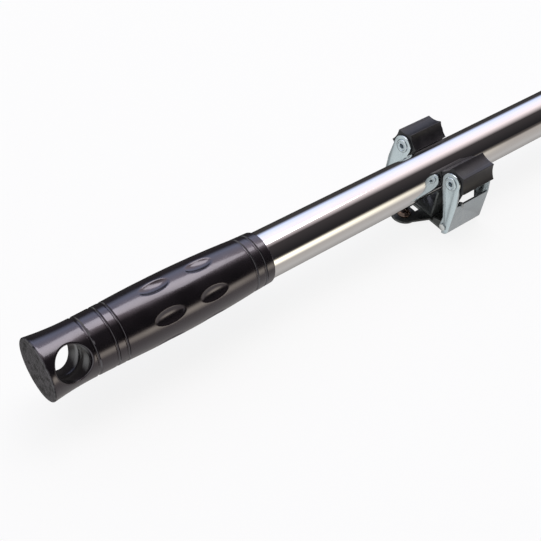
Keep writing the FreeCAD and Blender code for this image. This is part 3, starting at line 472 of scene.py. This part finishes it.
def piece_from(mesh: bmesh.types.BMesh, name: str, smooth_under: float = 35.0) -> bpy.types.Object:
    """Write a bmesh to a new object at the origin, smooth wherever faces meet gently.

    Args:
        mesh: the finished bmesh, freed here.
        name: the piece's name.
        smooth_under: edges gentler than this many degrees are smooth.

    Returns:
        The new object.
    """
    limit = math.radians(smooth_under)
    for face in mesh.faces:
        face.smooth = True
    for edge in mesh.edges:
        edge.smooth = edge.is_manifold and edge.calc_face_angle(0.0) < limit
    data = bpy.data.meshes.new(name)
    mesh.to_mesh(data)
    mesh.free()
    piece = bpy.data.objects.new(name, data)
    bpy.context.scene.collection.objects.link(piece)
    return piece


def sharp_edges(mesh: bmesh.types.BMesh, over: float) -> list[bmesh.types.BMEdge]:
    """The edges whose faces meet at more than so many degrees."""
    limit = math.radians(over)
    return [edge for edge in mesh.edges if edge.is_manifold and edge.calc_face_angle(0.0) > limit]


def soften(mesh: bmesh.types.BMesh, edges: Iterable[bmesh.types.BMEdge], width: float,
           segments: int = 2) -> None:
    """Round edges by a real bevel."""
    bmesh.ops.bevel(mesh, geom=list(edges), offset=width, offset_type="OFFSET", segments=segments,
                    profile=0.5, affect="EDGES", clamp_overlap=True, material=-1)


def turned_mesh(outline: Sequence[tuple[float, float]], steps: int,
                closed: bool = True) -> bmesh.types.BMesh:
    """Spin an outline of (station, radius) points round the X axis.

    Args:
        outline: points along the bar; the first and last lie on the axis when the form is solid.
        steps: how many facets go round.
        closed: True where the outline's ends join, as on a tube.

    Returns:
        A bmesh about the X axis.
    """
    mesh = bmesh.new()
    points = [mesh.verts.new((x, 0.0, r)) for x, r in outline]
    pairs = list(zip(points, points[1:]))
    if closed:
        pairs.append((points[-1], points[0]))
    edges = [mesh.edges.new(pair) for pair in pairs]
    bmesh.ops.spin(mesh, geom=points + edges, cent=(0, 0, 0), axis=(1, 0, 0), dvec=(0, 0, 0),
                   angle=math.tau, steps=steps, use_merge=True, use_normal_flip=False, use_duplicate=False)
    bmesh.ops.remove_doubles(mesh, verts=mesh.verts, dist=1e-7)
    bmesh.ops.recalc_face_normals(mesh, faces=mesh.faces)
    return mesh


def copy_of_node(node: str) -> bmesh.types.BMesh:
    """A merged copy of a CAD node's mesh with its flat faces made whole again."""
    mesh = bmesh.new()
    mesh.from_mesh(frame["nodes"][node].data)
    bmesh.ops.remove_doubles(mesh, verts=mesh.verts, dist=2e-6)
    bmesh.ops.dissolve_limit(mesh, angle_limit=math.radians(0.4), use_dissolve_boundaries=False,
                             verts=mesh.verts, edges=mesh.edges)
    return mesh


# ---------------------------------------------------------------- the bar


@dataclass
class Grip:
    """Moulded grip, in millimetres from its end face and from the bar's axis.

    The skin is one spun sheet of quads. Its columns are drawn in round the hanging hole, its rings are sunk
    and its finger dimples pressed in, and the hole's walls are extruded from the skin.
    """

    length: float = 120.9
    tube: float = 12.5
    blind_end: float = 26.5
    end_radius: float = 15.5
    end_round: float = 0.7
    waist: tuple[float, float] = (22.85, 14.3)
    flare_curve: float = 140.0
    belly_start: tuple[float, float] = (37.2, 14.6)
    belly_curve: float = 620.0
    neck: tuple[float, float] = (109.8, 13.95)
    front_radius: float = 13.6
    front_round: float = 0.9
    rings: tuple[float, ...] = (22.85, 32.2, 37.2, 109.8, 115.3)
    ring_cut: float = 0.75
    lip: float = 0.14
    hole_station: float = 11.9
    hole_radius: float = 8.3
    hole_angle: float = 145.5
    rim: float = 1.0
    face_rings: tuple[float, ...] = (0.0, 4.0, 8.0, 11.5, 13.2)
    clearance: float = 0.04
    columns: int = 240
    patch_cells: int = 32
    patch_ends: tuple[float, float] = (1.6, 24.6)
    dimple_rows: tuple[float, ...] = (60.1, 85.0)
    dimple_count: int = 6
    dimple_axes: tuple[float, float, float] = (8.6, 4.4, 2.6)
    dimple_lift: float = 0.85
    seam_depth: float = 0.14
    seam_half: float = 0.22

    @property
    def origin(self) -> Vector:
        """The end face's centre in the row frame, in metres."""
        low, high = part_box("grip_shell")
        tube_low, tube_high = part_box("handle_tube")
        return Vector((low[0], (low[1] + high[1]) / 2, (tube_low[2] + tube_high[2]) / 2))

    @staticmethod
    def _bow(x: float, start: tuple[float, float], end: tuple[float, float], curve: float,
             side: float) -> float:
        """Radius at x on a long arc from start to end; side +1 swells, -1 hollows."""
        half = math.hypot(end[0] - start[0], end[1] - start[1]) / 2
        along = (x - start[0]) / (end[0] - start[0])
        offset = (along - 0.5) * 2 * half
        rise = math.sqrt(curve ** 2 - offset ** 2) - math.sqrt(curve ** 2 - half ** 2)
        return start[1] + (end[1] - start[1]) * along + side * rise

    def blank_radius(self, x: float) -> float:
        """Radius of the skin at x before rings and dimples.

        Args:
            x: station from the end face.

        Returns:
            The radius from the bar's axis.
        """
        flare_start = (self.end_round, self.end_radius)
        front_start = (self.length - self.front_round, self.front_radius)
        if x < self.end_round:
            inner = self.end_radius - self.end_round
            return inner + math.sqrt(max(self.end_round ** 2 - (self.end_round - x) ** 2, 0.0))
        if x < self.waist[0]:
            return self._bow(x, flare_start, self.waist, self.flare_curve, -1.0)
        if x < self.belly_start[0]:
            share = (x - self.waist[0]) / (self.belly_start[0] - self.waist[0])
            return self.waist[1] + share * (self.belly_start[1] - self.waist[1])
        if x < self.neck[0]:
            return self._bow(x, self.belly_start, self.neck, self.belly_curve, 1.0)
        if x < front_start[0]:
            share = (x - self.neck[0]) / (front_start[0] - self.neck[0])
            return self.neck[1] + share * (self.front_radius - self.neck[1])
        inner = self.front_radius - self.front_round
        return inner + math.sqrt(max(self.front_round ** 2 - (x - front_start[0]) ** 2, 0.0))

    @staticmethod
    def _lower(first: float, second: float, blend: float) -> float:
        """The lower of two heights, eased into each other over blend."""
        reach = max(blend - abs(first - second), 0.0) / blend
        return min(first, second) - reach * reach * blend / 4

    def ringed_radius(self, x: float) -> float:
        """Radius of the skin at x with its ring grooves."""
        radius = self.blank_radius(x)
        for ring in self.rings:
            away = abs(x - ring)
            if away < self.ring_cut + self.lip:
                depth = math.sqrt(max(self.ring_cut ** 2 - away ** 2, 0.0))
                fall = 0.0 if depth > 0.0 else away - self.ring_cut
                radius = self._lower(radius, self.blank_radius(ring) - depth + 2.0 * fall, self.lip)
        return radius

    def skin_radius(self, x: float, turn: float) -> float:
        """Radius of the finished skin.

        Args:
            x: station from the end face.
            turn: degrees round the bar from the hanging hole.

        Returns:
            The radius from the bar's axis.
        """
        radius = self.ringed_radius(x)
        pitch = 360.0 / self.dimple_count
        aside = math.radians((turn + pitch / 2) % pitch - pitch / 2)
        centre = self.end_radius + self.dimple_lift
        along, across, deep = self.dimple_axes
        for row in self.dimple_rows:
            share = 1.0 - ((x - row) / along) ** 2 - (radius * math.sin(aside) / across) ** 2
            if share > -0.2:
                sink = math.sqrt(max(share, 0.0)) * deep
                floor = (centre - sink) / math.cos(aside) + max(-share, 0.0) * 2.0
                radius = self._lower(radius, floor, self.lip)
        return radius

    def stations(self) -> list[float]:
        """Stations along the skin, close together in the roundings, the rings and round the hole.

        Returns:
            Rising stations from the end face to the front edge.
        """
        marks = [self.end_round * (1 - math.cos(math.radians(a))) for a in range(0, 90, 10)]
        first, last = self.patch_ends
        cells = self.patch_cells
        marks += [first + (self.hole_station - first) * i / cells for i in range(cells)]
        marks += [self.hole_station + (last - self.hole_station) * i / cells for i in range(cells + 1)]
        front = self.length - self.front_round
        x = last
        while x < front - 0.6:
            near_ring = any(abs(x - ring) < self.ring_cut + 0.4 for ring in self.rings)
            x += 0.15 if near_ring else 0.55
            marks.append(min(x, front))
        marks += [front + self.front_round * math.sin(math.radians(a)) for a in range(0, 100, 10)]
        return sorted(set(round(mark, 6) for mark in marks))

    def spun_skin(self) -> bmesh.types.BMesh:
        """Spin the grip's whole outline, with its bore over the tube.

        Returns:
            A closed bmesh about the X axis whose columns start at the hanging hole.
        """
        skin = [(x, self.blank_radius(x)) for x in self.stations()]
        face = [(0.0, radius) for radius in self.face_rings]
        wall, floor = self.tube + self.clearance, self.blind_end - self.clearance
        bore = [(self.length, wall), (floor, wall), (floor, 0.0)]
        mesh = turned_mesh(face + skin + bore, self.columns, closed=False)
        turn = Matrix.Rotation(math.radians(self.hole_angle - 90.0), 4, "X")
        bmesh.ops.transform(mesh, matrix=turn, verts=mesh.verts)
        return mesh

    def _patch_place(self, x: float, turn: float) -> tuple[float, float, float]:
        """Draw a point of the patch round the hanging hole in towards the hole's circle.

        Args:
            x: station of the point in the plain grid.
            turn: its degrees from the hole's centre line, at most a quarter turn either way.

        Returns:
            The point's share of the patch (below 0.5 it lies inside the hole), its station and its degrees.
        """
        first, last = self.patch_ends
        half_turn = self.patch_cells * 360.0 / self.columns
        reach = last - self.hole_station if x > self.hole_station else self.hole_station - first
        p, q = (x - self.hole_station) / reach, turn / half_turn
        share = max(abs(p), abs(q))
        if share > 1.0 - 1e-9 or share < 0.5 - TINY:
            return share, x, turn
        angle = math.atan2(q, p)
        rim = self.hole_radius + self.rim
        ring_x = self.hole_station + rim * math.cos(angle)
        ring_turn = math.degrees(math.asin(rim * math.sin(angle) / self.blank_radius(ring_x)))
        edge_x = self.hole_station + reach * p / share
        edge_turn = half_turn * q / share
        blend = (share - 0.5) / 0.5
        return share, ring_x + (edge_x - ring_x) * blend, ring_turn + (edge_turn - ring_turn) * blend

    def shape_skin(self, mesh: bmesh.types.BMesh) -> None:
        """Draw the columns round the hole, sink rings and dimples, and open the hole's two mouths.

        Args:
            mesh: the spun skin, changed here.
        """
        inside = []
        for vert in mesh.verts:
            x, radius = vert.co.x, math.hypot(vert.co.y, vert.co.z)
            outer = radius > self.tube + 0.1 and abs(radius - self.blank_radius(min(x, self.length))) < 1e-4
            if not outer or x < TINY:
                continue
            angle = math.degrees(math.atan2(vert.co.z, vert.co.y)) - self.hole_angle
            mouth = 180.0 * round(angle / 180.0)
            turn = angle - mouth
            if self.patch_ends[0] - TINY < x < self.patch_ends[1] + TINY:
                share, x, turn = self._patch_place(x, turn)
                if share < 0.5 - TINY:
                    inside.append(vert)
                    continue
            radius = self.skin_radius(x, turn + mouth)
            around = math.radians(turn + mouth + self.hole_angle)
            vert.co = (x, radius * math.cos(around), radius * math.sin(around))
        bmesh.ops.delete(mesh, geom=inside, context="VERTS")

    def _hole_frame(self, place: Vector) -> tuple[float, float]:
        """How far a point lies across the hole's axis and along it."""
        around = math.radians(self.hole_angle)
        across = -place.y * math.sin(around) + place.z * math.cos(around)
        along = place.y * math.cos(around) + place.z * math.sin(around)
        return across, along

    def _from_hole(self, x: float, across: float, along: float) -> Vector:
        """The point at a station, across and along the hole's axis."""
        around = math.radians(self.hole_angle)
        y = along * math.cos(around) - across * math.sin(around)
        z = along * math.sin(around) + across * math.cos(around)
        return Vector((x, y, z))

    def line_hole(self, mesh: bmesh.types.BMesh) -> None:
        """Round the hole's rims, run its walls down to the mould seam and join them there.

        Args:
            mesh: the skin with its two open mouths, changed here.
        """
        rims = [edge for edge in mesh.edges if edge.is_boundary]
        joints = []
        for side in (1.0, -1.0):
            ring = [edge for edge in rims if self._hole_frame(edge.verts[0].co)[1] * side > 0]
            steps = [("rim", math.radians(a)) for a in (18, 36, 54, 72, 90)]
            steps += [("wall", self.seam_half + 5.0), ("wall", self.seam_half), ("seam", 0.02)]
            for kind, amount in steps:
                grown = bmesh.ops.extrude_edge_only(mesh, edges=ring)["geom"]
                ring = [item for item in grown if isinstance(item, bmesh.types.BMEdge)]
                for vert in {vert for edge in ring for vert in edge.verts}:
                    vert.co = self._wall_place(vert.co, kind, amount, side)
            joints += ring
        bmesh.ops.bridge_loops(mesh, edges=joints)

    def _wall_place(self, place: Vector, kind: str, amount: float, side: float) -> Vector:
        """Where a vertex of the hole's wall goes.

        Args:
            place: the vertex's place before.
            kind: rim, wall or seam.
            amount: the rim's angle in radians, or the height above the mould seam.
            side: which mouth it belongs to.

        Returns:
            The new place.
        """
        across, _ = self._hole_frame(place)
        angle = math.atan2(across, place.x - self.hole_station)
        radius, height = self.hole_radius, amount
        if kind == "rim":
            radius = self.hole_radius + self.rim * (1 - math.sin(amount))
            x = self.hole_station + radius * math.cos(angle)
            skin = self.ringed_radius(x)
            height = math.sqrt(skin ** 2 - (radius * math.sin(angle)) ** 2)
            height -= self.rim * (1 - math.cos(amount))
        if kind == "seam":
            radius = self.hole_radius + self.seam_depth
        x = self.hole_station + radius * math.cos(angle)
        return self._from_hole(x, radius * math.sin(angle), side * height)

    def build(self, finishes: Finishes) -> bpy.types.Object:
        """Make the grip, dress it and put it on the bar.

        Args:
            finishes: the materials.

        Returns:
            The grip.
        """
        mesh = self.spun_skin()
        self.shape_skin(mesh)
        self.line_hole(mesh)
        bmesh.ops.recalc_face_normals(mesh, faces=mesh.faces)
        bmesh.ops.scale(mesh, vec=(MM, MM, MM), verts=mesh.verts)
        bmesh.ops.translate(mesh, vec=self.origin, verts=mesh.verts)
        grip = piece_from(mesh, "grip_moulding", 50.0)
        finishes.dress(grip, "grip_plastic")
        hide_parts("grip_shell")
        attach(grip, "bar")
        return grip


@dataclass
class Softened:
    """A CAD piece shown as a merged copy with its hard edges really rounded."""

    node: str
    body: str
    slot: str
    width: float
    segments: int = 2
    over: float = 30.0

    def build(self, finishes: Finishes) -> bpy.types.Object:
        """Make the softened copy.

        Args:
            finishes: the materials.

        Returns:
            The piece that stands for the node.
        """
        mesh = copy_of_node(self.node)
        soften(mesh, sharp_edges(mesh, self.over), self.width * MM, self.segments)
        piece = piece_from(mesh, f"{self.node}_finished")
        finishes.dress(piece, self.slot)
        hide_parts(self.node)
        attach(piece, self.body)
        return piece


@dataclass
class HandleBar:
    """The bar: grip, chromed tube and the pressed-in fork with its pins and friction ball."""

    grip: Grip = field(default_factory=Grip)
    forged_round: float = 0.45
    pin_round: float = 0.25

    def build(self, finishes: Finishes) -> list[bpy.types.Object]:
        """Make the bar's new pieces and dress its CAD nodes.

        Args:
            finishes: the materials.

        Returns:
            The new pieces.
        """
        for node, slot in (("handle_tube", "tube_chrome"), ("friction_ball", "ball_steel"),
                           ("friction_spring", "spring_steel")):
            finishes.dress_node(node, slot)
        pieces = [self.grip.build(finishes)]
        pieces.append(Softened("fork_yoke", "bar", "forged_steel", self.forged_round, 3).build(finishes))
        for node in ("cross_pin", "pivot_pin"):
            pieces.append(Softened(node, "bar", "pin_steel", self.pin_round).build(finishes))
        return pieces


@dataclass
class DriveEnd:
    """The swivelling drive head with its sprung lock ball."""

    edge_round: float = 0.35

    def build(self, finishes: Finishes) -> list[bpy.types.Object]:
        """Make the drive head and dress the ball and spring.

        Args:
            finishes: the materials.

        Returns:
            The new pieces.
        """
        finishes.dress_node("lock_ball", "ball_steel")
        finishes.dress_node("lock_spring", "spring_steel")
        return [Softened("drive_head", "drive", "forged_steel", self.edge_round, 3).build(finishes)]


# ---------------------------------------------------------------- the clip


@dataclass
class ClipBase:
    """Base plate, cradle, rivets, screws and hinge pins."""

    sheet_round: float = 0.22
    stud_round: float = 0.16

    def build(self, finishes: Finishes) -> list[bpy.types.Object]:
        """Make the base's softened pieces.

        Args:
            finishes: the materials.

        Returns:
            The new pieces.
        """
        recipes = [
            Softened("base_plate", "clip_base", "black_sheet", self.sheet_round),
            Softened("cradle", "clip_base", "black_sheet", self.sheet_round),
            Softened("cradle_rivets", "clip_base", "pin_steel", self.stud_round),
            Softened("mounting_screws", "clip_base", "screw_brass", self.stud_round),
            Softened("hinge_pin_far", "clip_base", "pin_steel", self.stud_round),
            Softened("hinge_pin_near", "clip_base", "pin_steel", self.stud_round),
        ]
        return [recipe.build(finishes) for recipe in recipes]


@dataclass
class RollerArm:
    """One sprung arm: pressed arm, torsion spring, tubular rivet, sleeve and fluted roller."""

    side: Side
    sheet_round: float = 0.25
    rib_round: float = 0.32
    rivet_bore: float = 1.3
    rivet_shank: float = 2.8
    rivet_head: float = 3.9
    rivet_rise: float = 0.8

    def rolled_rivet(self, finishes: Finishes) -> bpy.types.Object:
        """Spin the tubular rivet with a rolled, dished head at each end.

        Args:
            finishes: the materials.

        Returns:
            The rivet.
        """
        node = f"axle_rivet_{self.side.word}"
        low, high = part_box(node)
        half = (high[0] - low[0]) / 2 / MM
        top = self.rivet_rise
        seat = half - top
        bore, shank, rim = self.rivet_bore, self.rivet_shank, self.rivet_head
        profile = ((0.0, shank), (0.0, rim - 0.15), (0.12, rim), (0.42, rim), (0.66, rim - 0.2),
                   (top, rim - 0.62), (top, rim - 1.0), (0.5, rim - 1.28), (0.46, bore + 0.62),
                   (0.74, bore + 0.42), (0.68, bore + 0.16), (0.3, bore))
        right = [(seat + rise, radius) for rise, radius in profile]
        left = [(-x, r) for x, r in reversed(right)]
        mesh = turned_mesh(right + left, 72)
        bmesh.ops.scale(mesh, vec=(MM, MM, MM), verts=mesh.verts)
        bmesh.ops.translate(mesh, vec=(low + high) / 2, verts=mesh.verts)
        piece = piece_from(mesh, f"axle_rivet_{self.side.word}_rolled", 40.0)
        finishes.dress(piece, "zinc_sheet")
        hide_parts(node)
        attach(piece, f"{self.side.word}_arm")
        return piece

    def build(self, finishes: Finishes) -> list[bpy.types.Object]:
        """Make the arm's pieces and dress its CAD nodes.

        Args:
            finishes: the materials.

        Returns:
            The new pieces.
        """
        word = self.side.word
        finishes.dress_node(f"torsion_spring_{word}", "spring_steel")
        finishes.dress_node(f"roller_sleeve_{word}", "pin_steel")
        arm = Softened(f"arm_{word}", f"{word}_arm", "zinc_sheet", self.sheet_round).build(finishes)
        roller = Softened(f"roller_{word}", f"{word}_roller", "roller_rubber", self.rib_round, 3, 25.0)
        return [arm, self.rolled_rivet(finishes), roller.build(finishes)]


# ---------------------------------------------------------------- the studio


@dataclass
class Studio:
    """Pale floor, soft light and the camera.

    Attributes:
        floor_drop: the floor below the base plate's wall face, in metres.
        floor_glow: strength of the floor's own glow.
        floor_share: share of the glow in the floor; the rest shows soft shadows.
        camera_place: the camera in the row frame, in metres.
        camera_right: the camera's own right.
        camera_up: the camera's own up.
        lens: its focal length for a 36 mm film.
        sky: stops of the light round the bar: degrees from +Y towards +Z, then a colour.
        side_light: colour of the light that comes from behind the grip.
        side_reach: how far along -X a direction points where that light is full, and where it ends.
        warm_light: colour of the soft warm light low beside the grip.
        backdrop: what the camera sees beyond the floor.
        panel_place: where the overhead panel hangs, in metres.
        panel_target: the point that it faces.
        panel_size: its width and height.
        panel_power: its power in watts.
        panel_colour: its colour.
    """

    floor_drop: float = 0.0003
    floor_glow: float = 1.0
    floor_share: float = 0.85
    camera_place: tuple[float, float, float] = (-0.3419, -0.2224, 0.3457)
    camera_right: tuple[float, float, float] = (0.77584, -0.62315, 0.09878)
    camera_up: tuple[float, float, float] = (0.40583, 0.61275, 0.67811)
    lens: float = 59.89
    sky: tuple[tuple[float, tuple[float, float, float]], ...] = (
        (-180.0, (0.5, 0.455, 0.425)),
        (-125.0, (0.56, 0.54, 0.53)),
        (-75.0, (0.34, 0.325, 0.315)),
        (-48.0, (0.04, 0.037, 0.036)),
        (12.0, (0.06, 0.056, 0.058)),
        (30.0, (0.95, 1.06, 1.42)),
        (52.0, (1.25, 1.22, 1.45)),
        (78.0, (1.3, 1.14, 1.16)),
        (106.0, (0.06, 0.052, 0.054)),
        (160.0, (0.02, 0.019, 0.021)),
        (172.0, (0.14, 0.12, 0.11)),
        (180.0, (0.5, 0.455, 0.425)),
    )
    side_light: tuple[float, float, float] = (0.92, 0.95, 0.93)
    side_reach: tuple[float, float] = (-0.6, -0.3)
    warm_light: tuple[float, float, float] = (2.4, 2.25, 1.85)
    backdrop: tuple[float, float, float] = (0.97, 0.97, 0.97)
    panel_place: tuple[float, float, float] = (0.25, 0.35, 1.2)
    panel_target: tuple[float, float, float] = (-0.12, 0.0, 0.0275)
    panel_size: tuple[float, float] = (0.9, 0.5)
    panel_power: float = 5.0
    panel_colour: tuple[float, float, float] = (0.97, 0.98, 1.0)

    def floor(self) -> None:
        """Lay the pale board that the clip is screwed to."""
        mesh = bmesh.new()
        bmesh.ops.create_grid(mesh, x_segments=2, y_segments=2, size=6.0)
        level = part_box("base_plate")[0][2] - self.floor_drop
        bmesh.ops.translate(mesh, vec=(0.0, 0.0, level), verts=mesh.verts)
        floor = piece_from(mesh, "floor")
        material = bpy.data.materials.new("floor_white")
        material.use_nodes = True
        material.node_tree.nodes.clear()
        sheet = NodeSheet(material.node_tree)
        lit = sheet.add("ShaderNodeBsdfDiffuse")
        lit.inputs["Color"].default_value = (0.9, 0.9, 0.9, 1.0)
        glow = sheet.add("ShaderNodeEmission")
        glow.inputs["Color"].default_value = (1.0, 1.0, 1.0, 1.0)
        glow.inputs["Strength"].default_value = self.floor_glow
        mix = sheet.add("ShaderNodeMixShader")
        mix.inputs[0].default_value = self.floor_share
        sheet.join(lit.outputs[0], mix.inputs[1])
        sheet.join(glow.outputs[0], mix.inputs[2])
        out = sheet.add("ShaderNodeOutputMaterial")
        sheet.join(mix.outputs[0], out.inputs["Surface"])
        floor.data.materials.append(material)
        floor.visible_glossy = False

    def surround(self) -> None:
        """Light the scene all round in bands, and show the camera a plain pale backdrop."""
        world = bpy.data.worlds.new("studio_surround")
        world.use_nodes = True
        world.node_tree.nodes.clear()
        sheet = NodeSheet(world.node_tree)
        split = sheet.add("ShaderNodeSeparateXYZ")
        sheet.join(sheet.add("ShaderNodeTexCoord").outputs["Generated"], split.inputs[0])
        angle = sheet.maths("ARCTAN2", split.outputs[2], split.outputs[1])
        ramp = sheet.add("ShaderNodeValToRGB")
        stops = ramp.color_ramp.elements
        for number, (degrees, colour) in enumerate(self.sky):
            place = degrees / 360.0 + 0.5
            stop = stops[number] if number < 2 else stops.new(place)
            stop.position = place
            stop.color = (*colour, 1.0)
        sheet.join(sheet.span(angle, -math.pi, math.pi), ramp.inputs[0])
        lit = sheet.mix(sheet.span(split.outputs[0], *self.side_reach), self.side_light, ramp.outputs[0])
        warm = sheet.mix(self._beside_grip(sheet, split), lit, self.warm_light)
        direct = sheet.add("ShaderNodeLightPath").outputs["Is Camera Ray"]
        back = sheet.add("ShaderNodeBackground")
        sheet.join(sheet.mix(direct, warm, self.backdrop), back.inputs["Color"])
        out = sheet.add("ShaderNodeOutputWorld")
        sheet.join(back.outputs[0], out.inputs["Surface"])
        bpy.context.scene.world = world

    @staticmethod
    def _beside_grip(sheet: NodeSheet, split: bpy.types.Node) -> bpy.types.NodeSocket:
        """A soft-edged mask of the level directions in front of the bar and a little along it."""
        along, across, up = split.outputs
        parts = (sheet.span(along, 0.08, 0.3), sheet.span(along, 0.72, 0.46), sheet.span(across, 0.0, -0.3),
                 sheet.span(up, -0.3, -0.06), sheet.span(up, 0.2, 0.04))
        mask = parts[0]
        for part in parts[1:]:
            mask = sheet.maths("MULTIPLY", mask, part)
        return mask

    def overhead_panel(self) -> None:
        """Hang the soft panel over the bar, facing it."""
        data = bpy.data.lights.new("overhead_panel", "AREA")
        data.shape = "RECTANGLE"
        data.size, data.size_y = self.panel_size
        data.energy = self.panel_power
        data.color = self.panel_colour
        light = bpy.data.objects.new("overhead_panel", data)
        light.location = self.panel_place
        away = Vector(self.panel_target) - Vector(self.panel_place)
        light.rotation_euler = away.to_track_quat("-Z", "Y").to_euler()
        bpy.context.scene.collection.objects.link(light)

    def camera(self) -> None:
        """Stand the camera."""
        data = bpy.data.cameras.new("camera")
        data.lens = self.lens
        data.sensor_width = 36.0
        data.clip_start, data.clip_end = 0.01, 20.0
        camera = bpy.data.objects.new("camera", data)
        right, up = Vector(self.camera_right), Vector(self.camera_up)
        back = right.cross(up)
        turn = Matrix((right, up, back)).transposed()
        camera.matrix_world = Matrix.Translation(self.camera_place) @ turn.to_4x4()
        bpy.context.scene.collection.objects.link(camera)
        bpy.context.scene.camera = camera

    def build(self) -> None:
        """Set the whole studio."""
        self.floor()
        self.surround()
        self.overhead_panel()
        self.camera()
        bpy.context.scene.view_settings.view_transform = "Standard"


def clear_start() -> None:
    """Remove whatever the file opened with, so that only the frame is left."""
    ours = set(frame["nodes"].values()) | set(frame["bodies"].values())
    for item in [item for item in bpy.data.objects if item not in ours]:
        bpy.data.objects.remove(item)


def main() -> None:
    """Build the bar, its clip and the studio."""
    logging.basicConfig(level=logging.INFO)
    clear_start()
    finishes = Finishes(EffectGroups())
    assemblies = (HandleBar(), DriveEnd(), ClipBase(), RollerArm(Side.FAR), RollerArm(Side.NEAR))
    for assembly in assemblies:
        for piece in assembly.build(finishes):
            LOG.info("%s: %s has %d faces", type(assembly).__name__, piece.name, len(piece.data.polygons))
    Studio().build()


if __name__ == "__main__":
    main()
